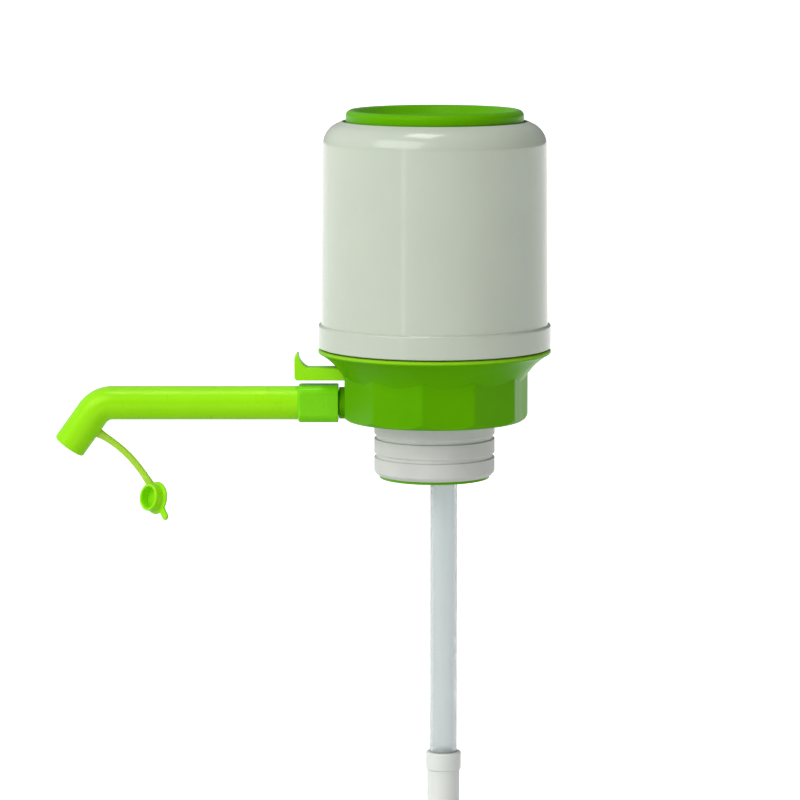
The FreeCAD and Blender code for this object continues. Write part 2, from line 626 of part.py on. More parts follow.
def makeSpringSeat():
    high = dim.bellowsTop - dim.bellowsLid
    low = high - dim.seatPlateThick
    guide = low - dim.guideRise
    body = turned("SeatPlateBody", [
        (0, low), (dim.springGuide - dim.guideThick, low),
        (dim.springGuide - dim.guideThick, guide), (dim.springGuide, guide),
        (dim.springGuide, low), (dim.seatPlateRadius, low), (dim.seatPlateRadius, high),
        (0, high)])
    holes = []
    for index, (x, y) in enumerate(seatPlaces()):
        holes.append(cylinder(f"SeatHole{index}", dim.screwShank + dim.holeGap,
                              low - dim.cutOver, high + dim.cutOver, x, y))
    keep("spring_seat", cutAway("SpringSeat", body, holes))
    keep("button_screws", screwSet("ButtonScrew", seatPlaces(), low - dim.screwHeadThick,
                                   low, dim.seatScrewEnd))
    keep("return_spring", coil("ReturnSpring", dim.springRadius, dim.springWire,
                               dim.plateSeat + dim.plateThick, low, dim.springCoils))


def makeButton():
    rim = dim.buttonRadius - dim.rimRound
    inner = dim.buttonRadius - dim.buttonWall
    underside = dim.buttonUnder
    press = dim.pressRing
    body = turned("ButtonBody", [
        (0, underside), (press - dim.buttonWall, underside),
        (press - dim.buttonWall, dim.bellowsTop), (press, dim.bellowsTop),
        (press, underside), (inner, underside), (inner, dim.buttonLow),
        (dim.stopRadius, dim.buttonLow), (dim.stopRadius, dim.buttonLow + dim.stopThick),
        (dim.buttonRadius, dim.buttonLow + dim.stopThick),
        (dim.buttonRadius, dim.buttonRimTop - dim.rimRound, -dim.rimRound),
        (rim, dim.buttonRimTop, -dim.rimInside),
        (dim.dishLipRadius, dim.dishLip), (dim.dishRadius, dim.dishEdge),
        (0, dim.buttonDish)])
    bosses = []
    holes = []
    for index, (x, y) in enumerate(seatPlaces()):
        bosses.append(cylinder(f"ButtonBoss{index}", dim.bossWall, dim.bellowsTop,
                               underside + dim.weld, x, y))
        holes.append(cylinder(f"BossHole{index}", dim.screwShank,
                              dim.bellowsTop - dim.cutOver, dim.seatScrewEnd, x, y))
    keep("press_button", cutAway("PressButton", joinAll("ButtonSolid", [body] + bosses), holes))


def makeCover():
    wall = dim.coverWall
    guide = dim.coverMouth + dim.guideWall
    groove = dim.coverSocket + dim.beadRise
    keep("cover", turned("Cover", [
        (dim.coverSocket, dim.coverLow), (dim.bandRadius - dim.bandEdge, dim.coverLow),
        (dim.bandRadius, dim.coverLow + dim.bandEdge),
        (dim.bandRadius, dim.bandTop - dim.bandEdge),
        (dim.bandRadius - dim.bandEdge, dim.bandTop), (dim.coverFoot, dim.bandTop),
        (dim.coverHead, dim.shoulderLow, -dim.shoulderRound),
        (dim.shoulderRadius, dim.shoulderHigh),
        (dim.coverMouth + dim.mouthEdge, dim.coverTop),
        (dim.coverMouth, dim.coverTop - dim.mouthEdge), (dim.coverMouth, dim.guideLow),
        (guide, dim.guideLow), (guide, dim.shoulderHigh - wall),
        (dim.coverHead - wall, dim.shoulderLow), (dim.coverFoot - wall, dim.bandTop),
        (dim.coverSocket, dim.socketTop), (dim.coverSocket, dim.beadHeight + dim.beadRise * 2),
        (groove, dim.beadHeight + dim.beadRise), (groove, dim.beadHeight - dim.beadRise),
        (dim.coverSocket, dim.beadHeight - dim.beadRise * 2)]))


# ---------------------------------------------------------------- spout and dust plug

def spoutPath():
    """The spout's centreline as a wire: a level run, the bend and the run to the tip."""
    angle = math.radians(driving["bendAngle"])
    tangent = driving["bendRadius"] * math.tan(angle / 2)
    corner = Vector(-driving["spoutCorner"], 0, driving["spoutAxis"])
    down = Vector(-math.cos(angle), 0, -math.sin(angle))
    start = Vector(driving["sleeveLap"] - driving["sleeveBoreEnd"], 0, driving["spoutAxis"])
    bendStart = corner + Vector(tangent, 0, 0)
    bendEnd = corner + down * tangent
    centre = bendStart - Vector(0, 0, driving["bendRadius"])
    bendMiddle = centre + (Vector(-math.sin(angle / 2), 0, math.cos(angle / 2))
                           * driving["bendRadius"])
    tip = corner + down * driving["tipRun"]
    wire = Part.Wire([Part.LineSegment(start, bendStart).toShape(),
                      Part.Arc(bendStart, bendMiddle, bendEnd).toShape(),
                      Part.LineSegment(bendEnd, tip).toShape()])
    return wire, start, tip, down


def swept(name, wire, start, radius):
    profile = Part.Wire(Part.makeCircle(radius, start, Vector(-1, 0, 0)))
    tube = doc.addObject("Part::Feature", name)
    tube.Shape = wire.makePipeShell([profile], True, True)
    return tube


def makeSpout():
    wire, start, tip, down = spoutPath()
    outside = swept("SpoutOutside", wire, start, driving["spoutRadius"])
    tipEdges = [edge for edge in outside.Shape.Edges if isTipEdge(edge, tip)]
    outside.Shape = outside.Shape.makeFillet(driving["tipRound"], tipEdges)
    half = dim.sleeveSide / 2
    rough = block("SleeveBlock", (-dim.sleeveEnd, -half, dim.spoutAxis - half),
                  (-dim.sleeveStart, half, dim.spoutAxis + half))
    doc.recompute()
    sleeve = doc.addObject("Part::Fillet", "SleeveRounded")
    sleeve.Base = rough
    corner = driving["sleeveCorner"]
    sleeve.Edges = [(index, corner, corner) for index, edge
                    in enumerate(rough.Shape.Edges, start=1) if isAlongX(edge)]
    doc.recompute()
    shoulder = doc.addObject("Part::Fillet", "SleeveShoulder")
    shoulder.Base = sleeve
    softened = driving["sleeveShoulder"]
    shoulder.Edges = [(index, softened, softened) for index, edge
                      in enumerate(sleeve.Shape.Edges, start=1)
                      if abs(edge.BoundBox.XMax + driving["sleeveEnd"]) < touching]
    bore = swept("SpoutBore", extended(wire, tip, down), start, driving["spoutBore"])
    socket = cylinder("SleeveBore", dim.sleeveBore, dim.sleeveStart - dim.cutOver,
                      dim.sleeveBoreEnd, turn=alongSpout)
    solid = joinAll("SpoutSolid", [outside, shoulder])
    keep("spout", cutAway("Spout", solid, [bore, socket]))

    seal = doc.addObject("Part::Torus", "SpoutSeal")
    bind(seal, "Radius1", dim.sealSeatRadius + dim.sealWire)
    bind(seal, "Radius2", dim.sealWire)
    place(seal, x=-(dim.sealSeat + dim.sealWidth / 2), z=dim.spoutAxis, turn=alongSpout)
    keep("spout_seal", seal)


def extended(wire, tip, down):
    """The centreline carried past the tip, so that the bore opens it cleanly."""
    end = tip + down * driving["boreRunOut"]
    return Part.Wire(wire.Edges + [Part.LineSegment(tip, end).toShape()])


def isTipEdge(edge, tip):
    """The rim's circle has its centre at the tip."""
    return edge.Closed and (edge.CenterOfMass - tip).Length < driving["tipRound"] / 2


def isAlongX(edge):
    return edge.BoundBox.YLength < touching and edge.BoundBox.ZLength < touching


# The strap lies in the spout's plane, from under the spout to the plug's rim.
strapRoot = Vector(-125.7, 0, -5.5)
strapFlex = Vector(-114.9, 0, -13.1)
strapEnd = Vector(-106.2, 0, -25.0)
plugCentre = Vector(-103.4, -3.0, -29.5)       # centre of the flange's outer face
plugMouth = Vector(-0.745, -0.642, 0.18)       # the way the plug's mouth faces
tabDirection = Vector(0.391, -0.638, -0.662)   # across the plug, away from the strap


def strapBand(name, start, end):
    """A flat bowed band between two points, centred on the spout's plane."""
    along = (end - start).normalize()
    bow = driving["strapBend"]
    half = driving["strapThick"] / 2
    side = Vector(-along.z, 0, along.x)
    corners = [start - side * half, end - side * half, end + side * half,
               start + side * half]
    rise = bow - math.sqrt(bow ** 2 - ((end - start).Length / 2) ** 2)
    lower = (corners[0] + corners[1]) / 2 + side * rise
    upper = (corners[2] + corners[3]) / 2 + side * rise
    edges = [Part.Arc(corners[0], lower, corners[1]).toShape(),
             Part.LineSegment(corners[1], corners[2]).toShape(),
             Part.Arc(corners[2], upper, corners[3]).toShape(),
             Part.LineSegment(corners[3], corners[0]).toShape()]
    width = driving["strapWidth"]
    band = doc.addObject("Part::Feature", name)
    band.Shape = Part.Face(Part.Wire(edges)).extrude(Vector(0, width, 0))
    band.Placement = FreeCAD.Placement(Vector(0, -width / 2, 0), Rotation())
    return band


def makePlug():
    thick = dim.plugFlangeThick
    depth = dim.plugDepth
    edge = dim.plugEdge
    nose = dim.plugNose
    body = turned("PlugBody", [
        (0, 0), (dim.plugFlange - edge, 0), (dim.plugFlange, edge),
        (dim.plugFlange, thick - edge), (dim.plugFlange - edge, thick),
        (dim.plugRadius, thick), (dim.plugRadius, depth - nose),
        (dim.plugRadius - nose, depth), (dim.plugBore, depth), (dim.plugBore, thick),
        (0, thick)])
    half = dim.tabWidth / 2
    tab = block("PlugTab", (dim.plugFlange - dim.tabRoot, -half, 0),
                (dim.tabLength - half, half, thick))
    tabEnd = cylinder("PlugTabEnd", half, 0, thick, x=dim.tabLength - half)
    plug = joinAll("PlugSolid", [body, tab, tabEnd])
    across = tabDirection - plugMouth * (tabDirection * plugMouth / plugMouth.Length ** 2)
    across.normalize()
    facing = Vector(plugMouth).normalize()
    sideways = facing.cross(across)
    turn = Rotation(across, sideways, facing, "ZXY")
    plug.Placement = FreeCAD.Placement(plugCentre, turn)
    keep("dust_plug", plug)


def makeStrap():
    """The strap's two lengths meet at its flex point, where the lower one ends in a round."""
    short = (strapRoot - strapFlex).normalize() * (driving["strapThick"] / 2
                                                   + driving["strapGap"])
    upper = strapBand("StrapUpper", strapRoot, strapFlex + short)
    knuckle = doc.addObject("Part::Cylinder", "StrapKnuckle")
    bind(knuckle, "Radius", dim.strapThick / 2)
    bind(knuckle, "Height", dim.strapWidth)
    place(knuckle, strapFlex.x, -dim.strapWidth / 2, strapFlex.z,
          Rotation(Vector(1, 0, 0), -90))
    lower = joinAll("StrapJoined", [strapBand("StrapLower", strapFlex, strapEnd), knuckle])
    keep("plug_strap_upper", cutAway("StrapRooted", upper, [nodes["spout"]]))
    keep("plug_strap_lower", cutAway("StrapEnded", lower, [nodes["dust_plug"]]))


# ---------------------------------------------------------------- release lever and valve

def makeLever():
    width = dim.leverWidth
    edge = dim.leverEdge
    body = padded("LeverBody", [
        (edge - dim.leverOut, dim.leverLow), (dim.armLow - dim.pivotReach, dim.leverLow),
        (-dim.forkStart, dim.forkLow), (-dim.forkEnd, dim.forkLow),
        (-dim.forkEnd, dim.forkHigh), (dim.armLow - dim.pivotReach, dim.forkHigh),
        (dim.armHigh - dim.pivotReach, dim.leverHigh),
        (-dim.finBack, dim.leverHigh, dim.thumbRound), (-dim.thumbStart, dim.finHigh),
        (dim.finTip - dim.leverOut, dim.finHigh),
        (-dim.leverOut, dim.finHigh - dim.finSlope), (-dim.leverOut, dim.leverLow + edge)],
        width)
    over = dim.cutOver
    fork = block("ForkGap", (-dim.reliefReach - dim.forkHalf, -dim.forkHalf,
                             dim.forkLow - over),
                 (over - dim.forkEnd, dim.forkHalf, dim.forkHigh + over))
    hole = pivotBar("LeverHole", dim.pinRadius + dim.pinFit, dim.leverWidth)
    keep("release_lever", cutAway("Lever", body, [fork, hole]))
    keep("lever_pin", pivotBar("LeverPin", dim.pinRadius, dim.pinHalf))


def makeRelease():
    seal = dim.reliefSeat
    disc = seal + dim.sealThick
    stem = turned("Stem", [
        (0, dim.stemLow), (dim.stemTail - dim.stemEdge, dim.stemLow),
        (dim.stemTail, dim.stemLow + dim.stemEdge), (dim.stemTail, disc),
        (dim.sealDisc, disc), (dim.sealDisc, disc + dim.stemFlange),
        (dim.stemRadius, disc + dim.stemFlange),
        (dim.stemRadius, dim.collarLow), (dim.stemCollar, dim.collarLow),
        (dim.stemCollar, dim.collarHigh), (dim.stemRadius, dim.collarHigh),
        (dim.stemRadius, dim.stemTop), (0, dim.stemTop)])
    keep("release_valve_stem", place(stem, x=-dim.reliefReach))
    washer = ring("StemSeal", dim.stemTail + dim.sleeveGap, dim.sealDisc, seal, disc)
    keep("release_valve_seal", place(washer, x=-dim.reliefReach))
    spring = coil("StemSpring", dim.reliefSpring, dim.reliefWire, dim.collarHigh,
                  dim.plateSeat, dim.reliefCoils)
    bind(spring, "Placement.Base.x", -dim.reliefReach)
    keep("release_valve_spring", spring)


# ---------------------------------------------------------------- build, test and write

for make in (makeBase, makeNeckSleeve, makeDipTube, makeValvePlate, makeValves, makeBellows,
             makeClamp, makeSpringSeat, makeButton, makeCover, makeSpout, makePlug, makeStrap,
             makeLever, makeRelease):
    make()
doc.recompute()

faults = [f"{item.Name}: {item.State}" for item in doc.Objects
          if "Invalid" in item.State or "Error" in item.State]
for label, piece in nodes.items():
    if piece.Shape.isNull() or not piece.Shape.isValid() or piece.Shape.Volume <= 0:
        faults.append(f"{label}: shape is null, invalid or empty")
if faults:
    raise SystemExit("\n".join(faults))

os.makedirs("parts", exist_ok=True)
for label, piece in nodes.items():
    piece.Shape.exportStep(f"parts/{label}.step")
    box = piece.Shape.optimalBoundingBox()
    print(f"{label:22s} solids {len(piece.Shape.Solids)}  volume {piece.Shape.Volume:10.1f}"
          f"  x {box.XMin:7.1f} {box.XMax:7.1f}  y {box.YMin:6.1f} {box.YMax:6.1f}"
          f"  z {box.ZMin:7.1f} {box.ZMax:7.1f}")
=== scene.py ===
import json
import math

import bmesh
import bpy
from mathutils import Matrix, Vector


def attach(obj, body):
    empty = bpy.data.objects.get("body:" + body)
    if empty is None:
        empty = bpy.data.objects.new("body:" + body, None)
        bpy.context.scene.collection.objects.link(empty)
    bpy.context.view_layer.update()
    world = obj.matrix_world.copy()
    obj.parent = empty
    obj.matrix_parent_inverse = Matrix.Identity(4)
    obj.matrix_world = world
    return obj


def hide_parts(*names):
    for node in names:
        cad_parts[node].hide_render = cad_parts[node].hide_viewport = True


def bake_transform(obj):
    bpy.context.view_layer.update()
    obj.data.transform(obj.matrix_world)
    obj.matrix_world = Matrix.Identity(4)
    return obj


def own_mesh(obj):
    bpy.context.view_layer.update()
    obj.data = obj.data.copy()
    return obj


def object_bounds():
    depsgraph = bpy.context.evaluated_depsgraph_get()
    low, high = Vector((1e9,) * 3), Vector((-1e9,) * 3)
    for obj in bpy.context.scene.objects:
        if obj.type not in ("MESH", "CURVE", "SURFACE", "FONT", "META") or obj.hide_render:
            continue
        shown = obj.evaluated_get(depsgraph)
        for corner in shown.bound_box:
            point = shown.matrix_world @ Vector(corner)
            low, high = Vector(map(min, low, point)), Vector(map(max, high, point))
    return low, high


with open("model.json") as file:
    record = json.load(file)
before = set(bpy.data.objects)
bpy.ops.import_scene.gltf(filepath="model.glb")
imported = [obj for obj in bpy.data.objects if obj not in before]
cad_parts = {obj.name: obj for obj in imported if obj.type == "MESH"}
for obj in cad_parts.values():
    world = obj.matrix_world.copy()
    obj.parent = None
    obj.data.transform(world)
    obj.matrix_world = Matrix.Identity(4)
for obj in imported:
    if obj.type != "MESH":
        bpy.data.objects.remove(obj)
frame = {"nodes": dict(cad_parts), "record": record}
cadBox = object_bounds()
nodes = frame["nodes"]
mm = 0.001
near = 0.00001      # metres: points this close are at one place
weld = 0.000002     # metres: doubled points this close are merged
bury = 0.5          # millimetres that a joined shape starts inside the other
past = 1            # millimetres that a cut runs past the face it opens

# Camera: a long lens in front of the pump, looking slightly down
view = {
    "lens": 182.7,              # millimetres on a 36 mm sensor
    "distance": 1.515,
    "pitch": 7.6,               # degrees below the horizon
    "target": Vector((-0.01287, 0, 0.00704)),
}


def addCamera():
    pitch = math.radians(view["pitch"])
    back = Vector((0, -math.cos(pitch), math.sin(pitch)))
    bpy.ops.object.camera_add(location=view["target"] + back * view["distance"],
                              rotation=(math.pi / 2 - pitch, 0, 0))
    camera = bpy.context.object
    camera.data.lens = view["lens"]
    camera.data.sensor_width = 36
    bpy.context.scene.camera = camera


addCamera()

studio = {
    "floorDrop": 0.012,         # floor below the dip tube's foot
    "floorSize": 60,
    "floorColour": (0.55, 0.55, 0.54, 1),
    "floorRough": 0.8,
    "floorGlow": (0.0, 1.1),    # under the pump and further out
    "glowReach": (0.4, 1.25),   # metres from the pump's axis
    "skyX": (1.42, 0.12),       # from the left wall to the right one
    "skyY": (0.31, 0.44),       # from behind the camera to behind the pump
    "skyZ": (0.74, 1.80),       # from the horizon up
    "aim": Vector((0, 0, 0.04)),    # where the lamps point
    "lamps": [                  # name, place, width, height, power, colour
        ("keyLamp", (-1.00, -1.11, 1.05), 1.5, 1.1, 16.5, (1, 0.99, 0.96)),
        ("topLamp", (-0.15, -0.20, 1.30), 0.45, 0.45, 4.0, (1, 1, 1)),
        ("stripLamp", (-0.80, -1.30, 0.10), 0.03, 0.9, 0.5, (1, 1, 1)),
    ],
}


def shaderOf(material):
    material.use_nodes = True
    return material.node_tree.nodes["Principled BSDF"]


def ranged(tree, value, low, high, start=0.3, end=0.7):
    # Stretches a value that runs from start to end so that it runs from low to high
    node = tree.nodes.new("ShaderNodeMapRange")
    node.inputs["From Min"].default_value = start
    node.inputs["From Max"].default_value = end
    node.inputs["To Min"].default_value = low
    node.inputs["To Max"].default_value = high
    tree.links.new(value, node.inputs["Value"])
    return node.outputs["Result"]


def splitPlace(tree, kind):
    # The X, Y and Z of one kind of coordinates
    place = tree.nodes.new("ShaderNodeTexCoord")
    split = tree.nodes.new("ShaderNodeSeparateXYZ")
    tree.links.new(place.outputs[kind], split.inputs["Vector"])
    return split.outputs


def addFloor():
    low = cadBox[0].z - studio["floorDrop"]
    bpy.ops.mesh.primitive_plane_add(size=studio["floorSize"], location=(0, 0, low))
    floor = bpy.context.object
    floor.name = "studioFloor"
    paint = bpy.data.materials.new("paleFloor")
    shader = shaderOf(paint)
    tree = paint.node_tree
    shader.inputs["Base Color"].default_value = studio["floorColour"]
    shader.inputs["Roughness"].default_value = studio["floorRough"]
    shader.inputs["Emission Color"].default_value = (1, 1, 1, 1)
    # The floor glows further out, and not at all right under the pump
    place = tree.nodes.new("ShaderNodeTexCoord")
    away = tree.nodes.new("ShaderNodeVectorMath")
    away.operation = "LENGTH"
    tree.links.new(place.outputs["Object"], away.inputs[0])
    glow = ranged(tree, away.outputs["Value"], *studio["floorGlow"], *studio["glowReach"])
    glow.node.interpolation_type = "SMOOTHSTEP"
    tree.links.new(glow, shader.inputs["Emission Strength"])
    floor.data.materials.append(paint)


def addSky():
    # White walls: bright on the left, dim on the right and behind the camera, and
    # brighter overhead than at the horizon
    world = bpy.data.worlds.new("studioWorld")
    world.use_nodes = True
    tree = world.node_tree
    background = tree.nodes["Background"]
    background.inputs["Color"].default_value = (1, 1, 1, 1)
    split = splitPlace(tree, "Generated")
    strength = ranged(tree, split["X"], *studio["skyX"], -1, 1)
    for axis, start in (("Y", -1), ("Z", 0)):
        along = ranged(tree, split[axis], *studio["sky" + axis], start, 1)
        product = tree.nodes.new("ShaderNodeMath")
        product.operation = "MULTIPLY"
        tree.links.new(strength, product.inputs[0])
        tree.links.new(along, product.inputs[1])
        strength = product.outputs["Value"]
    tree.links.new(strength, background.inputs["Strength"])
    bpy.context.scene.world = world
    bpy.context.scene.view_settings.view_transform = "Standard"


def addLamps():
    for name, spot, width, height, power, colour in studio["lamps"]:
        bpy.ops.object.light_add(type="AREA", location=spot)
        lamp = bpy.context.object
        lamp.name = name
        lamp.data.shape = "RECTANGLE"
        lamp.data.size = width
        lamp.data.size_y = height
        lamp.data.energy = power
        lamp.data.color = colour
        along = studio["aim"] - Vector(spot)
        lamp.rotation_euler = along.to_track_quat("-Z", "Y").to_euler()


addFloor()
addSky()
addLamps()
print("camera and studio ready")


# Moulded finishes: two shades, roughness, grain, light let through, and the reflection's
# strength and tint. A painted light zone is an axis, where it starts, how wide its edge is, and
# its shade: a painted highlight on the base's lip and painted shade on the spout's sleeve.
looks = {
    "green_plastic": {"light": (0.105, 0.385, 0.0004, 1), "dark": (0.090, 0.350, 0.0004, 1),
                      "rough": (0.28, 0.38), "grain": 0.05, "glow": 0.05, "gloss": 0.1,
                      "tint": (0.80, 1, 0.12, 1)},
    "base_plastic": {"light": (0.105, 0.385, 0.0004, 1), "dark": (0.090, 0.350, 0.0004, 1),
                     "rough": (0.28, 0.38), "grain": 0.05, "glow": 0.05, "gloss": 0.1,
                     "tint": (0.80, 1, 0.12, 1),
                     # the thin lip under the cover is painted paler: a painted highlight for the
                     # bright line along its rounded top edge
                     "paintedLightZone": ("Z", 25.3, 0.5, (0.25, 0.57, 0.015, 1))},
    "spout_plastic": {"light": (0.31, 0.78, 0.003, 1), "dark": (0.28, 0.74, 0.002, 1),
                      "rough": (0.26, 0.38), "grain": 0.06, "glow": 0.15, "gloss": 0.45,
                      "tint": (0.85, 1, 0.25, 1),
                      # the thick sleeve end is painted a deeper shade than the tube: painted shade,
                      # as the tube's thin wall lets more light through
                      "paintedLightZone": ("X", -51.2, 0.6, (0.165, 0.62, 0.002, 1))},
    "lever_plastic": {"light": (0.30, 0.77, 0.003, 1), "dark": (0.27, 0.73, 0.002, 1),
                      "rough": (0.26, 0.38), "grain": 0.06, "glow": 0.15, "gloss": 0.45,
                      "tint": (0.85, 1, 0.25, 1)},
    "strap_plastic": {"light": (0.42, 0.70, 0.05, 1), "dark": (0.38, 0.66, 0.035, 1),
                      "rough": (0.30, 0.42), "grain": 0.06, "glow": 0.3, "gloss": 0.4,
                      "tint": (0.9, 1, 0.5, 1)},
    "white_plastic": {"light": (0.49, 0.545, 0.455, 1), "dark": (0.465, 0.52, 0.435, 1),
                      "rough": (0.12, 0.20), "grain": 0.035, "glow": 0.05, "gloss": 0.5,
                      "tint": (1, 1, 1, 1)},
    "tube_fitting": {"light": (0.80, 0.83, 0.80, 1), "dark": (0.74, 0.77, 0.75, 1),
                     "rough": (0.28, 0.42), "grain": 0.06, "glow": 0.15, "gloss": 0.5,
                     "tint": (1, 1, 1, 1)},
}


moulding = {                    # noise in features per metre, depths in millimetres
    "cloud": 38, "scuff": 260, "scuffStretch": (1, 1, 0.22), "wave": 55, "waveDepth": 0.35,
    "speckle": 2600, "speckleDepth": 0.05, "ior": 1.50,
    "glowReach": (0.5, 1, 0.25), "glowScale": 0.0016,
}
rubbers = {                     # light and dark shade, lowest roughness
    "bellows_rubber": ((0.56, 0.57, 0.53, 1), (0.48, 0.49, 0.46, 1), 0.5),
    "seal_rubber": ((0.62, 0.64, 0.61, 1), (0.54, 0.56, 0.53, 1), 0.42),
    "valve_silicone": ((0.78, 0.25, 0.08, 1), (0.66, 0.20, 0.06, 1), 0.35),
}
rubberGrain = {
    "cloud": 70, "scuff": 900, "spread": 0.15, "speckle": 1800, "strength": 0.12,
    "depth": 0.06, "sheen": 0.15,
}
drawnLooks = {                  # streaks are noise, its detail and how far it is stretched
    "steel": {"light": (0.66, 0.66, 0.67, 1), "dark": (0.50, 0.50, 0.51, 1),
              "streaks": (500, 5, (1, 1, 6)), "rough": (0.18, 0.36), "grain": (0.05, 0.03),
              "shader": {"Metallic": 1}},
    "clear_tube": {"light": (0.88, 0.92, 0.92, 1), "dark": (0.78, 0.84, 0.84, 1),
                   "streaks": (240, 4, (1, 1, 0.05)), "rough": (0.14, 0.30),
                   "grain": (0.06, 0.08),
                   "shader": {"Transmission Weight": 0.72, "IOR": 1.44}},
}


def noiseAt(tree, scale, detail=3.0, stretch=(1, 1, 1)):
    # Noise on the piece's own coordinates; scale is in features per metre
    place = tree.nodes.new("ShaderNodeTexCoord")
    turn = tree.nodes.new("ShaderNodeMapping")
    turn.inputs["Scale"].default_value = stretch
    noise = tree.nodes.new("ShaderNodeTexNoise")
    noise.inputs["Scale"].default_value = scale
    noise.inputs["Detail"].default_value = detail
    tree.links.new(place.outputs["Object"], turn.inputs["Vector"])
    tree.links.new(turn.outputs["Vector"], noise.inputs["Vector"])
    return noise.outputs["Fac"]


def mixed(tree, value, first, second):
    # The first may be a colour or another node's output
    node = tree.nodes.new("ShaderNodeMix")
    node.data_type = "RGBA"
    if isinstance(first, tuple):
        node.inputs["A"].default_value = first
    else:
        tree.links.new(first, node.inputs["A"])
    node.inputs["B"].default_value = second
    tree.links.new(value, node.inputs["Factor"])
    return node.outputs["Result"]


def bumped(tree, shader, layers):
    # Each layer is (height, strength, depth in millimetres)
    before = None
    for height, strength, depth in layers:
        bump = tree.nodes.new("ShaderNodeBump")
        bump.inputs["Strength"].default_value = strength
        bump.inputs["Distance"].default_value = depth * mm
        tree.links.new(height, bump.inputs["Height"])
        if before:
            tree.links.new(before, bump.inputs["Normal"])
        before = bump.outputs["Normal"]
    tree.links.new(before, shader.inputs["Normal"])


def mouldedPlastic(name):
    look = looks[name]
    m = moulding
    material = bpy.data.materials.new(name)
    shader = shaderOf(material)
    tree = material.node_tree
    cloud = noiseAt(tree, m["cloud"], 4)
    colour = mixed(tree, ranged(tree, cloud, 0, 1), look["dark"], look["light"])
    # Painted light: past a place along one axis the colour turns to another shade (the base's
    # painted lip highlight, the spout's painted sleeve shade)
    if "paintedLightZone" in look:
        axis, start, width, shade = look["paintedLightZone"]
        share = ranged(tree, splitPlace(tree, "Object")[axis], 0, 1,
                       start * mm, (start + width) * mm)
        colour = mixed(tree, share, colour, shade)
    tree.links.new(colour, shader.inputs["Base Color"])
    scuffs = noiseAt(tree, m["scuff"], 6, m["scuffStretch"])
    tree.links.new(ranged(tree, scuffs, *look["rough"]), shader.inputs["Roughness"])
    bumped(tree, shader, [(noiseAt(tree, m["wave"], 2), look["grain"], m["waveDepth"]),
                          (noiseAt(tree, m["speckle"], 3), look["grain"], m["speckleDepth"])])
    shader.inputs["IOR"].default_value = m["ior"]
    shader.inputs["Specular IOR Level"].default_value = look["gloss"]
    shader.inputs["Specular Tint"].default_value = look["tint"]
    shader.inputs["Subsurface Weight"].default_value = look["glow"]
    shader.inputs["Subsurface Radius"].default_value = m["glowReach"]
    shader.inputs["Subsurface Scale"].default_value = m["glowScale"]
    return material


def softRubber(name):
    light, dark, rough = rubbers[name]
    material = bpy.data.materials.new(name)
    shader = shaderOf(material)
    tree = material.node_tree
    g = rubberGrain
    cloud = noiseAt(tree, g["cloud"], 4)
    tree.links.new(mixed(tree, ranged(tree, cloud, 0, 1), dark, light), shader.inputs["Base Color"])
    tree.links.new(ranged(tree, noiseAt(tree, g["scuff"], 4), rough, rough + g["spread"]),
                   shader.inputs["Roughness"])
    bumped(tree, shader, [(noiseAt(tree, g["speckle"], 4), g["strength"], g["depth"])])
    shader.inputs["Sheen Weight"].default_value = g["sheen"]
    return material


def drawnFinish(name):
    # Steel wire and plastic tube, streaked the way they were drawn
    look = drawnLooks[name]
    material = bpy.data.materials.new(name)
    shader = shaderOf(material)
    tree = material.node_tree
    streaks = noiseAt(tree, *look["streaks"])
    tree.links.new(mixed(tree, ranged(tree, streaks, 0, 1), look["dark"], look["light"]),
                   shader.inputs["Base Color"])
    tree.links.new(ranged(tree, streaks, *look["rough"]), shader.inputs["Roughness"])
    bumped(tree, shader, [(streaks, *look["grain"])])
    for socket, value in look["shader"].items():
        shader.inputs[socket].default_value = value
    return material


finishes = {name: mouldedPlastic(name) for name in looks}
finishes.update({name: softRubber(name) for name in rubbers})
finishes.update({name: drawnFinish(name) for name in drawnLooks})

slotOf = {part["node"]: part["material_slot"] for part in frame["record"]["subparts"]}
for name, node in nodes.items():
    node.data.materials.clear()
    node.data.materials.append(finishes[slotOf[name]])
print("finishes ready")


def pickOnly(piece):
    bpy.ops.object.select_all(action="DESELECT")
    piece.select_set(True)
    bpy.context.view_layer.objects.active = piece


def chooseEdges(piece, test):
    # In edit mode, selects the edges whose two ends pass the test
    bpy.ops.mesh.select_mode(type="EDGE")
    bpy.ops.mesh.select_all(action="DESELECT")
    bpy.ops.object.mode_set(mode="OBJECT")
    for edge in piece.data.edges:
        edge.select = test(*(piece.data.vertices[end].co for end in edge.vertices))
    bpy.ops.object.mode_set(mode="EDIT")


def roundEdges(piece, corners):
    # Rounds the edges that pass a test, each given as (test, width, steps)
    pickOnly(piece)
    bpy.ops.object.mode_set(mode="EDIT")
    for test, width, steps in corners:
        chooseEdges(piece, test)
        bpy.ops.mesh.bevel(offset=width * mm, segments=steps, affect="EDGES")
    bpy.ops.object.mode_set(mode="OBJECT")


def onLoop(radius, height, centre=(0, 0)):
    # Tests that both ends lie on the level circle of that radius and height
    def there(point):
        reach = math.hypot(point.x - centre[0] * mm, point.y - centre[1] * mm)
        return abs(reach - radius * mm) < near and abs(point.z - height * mm) < near
    return lambda first, last: there(first) and there(last)


def roundLoops(piece, corners, centre=(0, 0)):
    # Rounds loops of a turned piece, each given as (radius, height, width, steps)
    roundEdges(piece, [(onLoop(radius, height, centre), width, steps)
                       for radius, height, width, steps in corners])


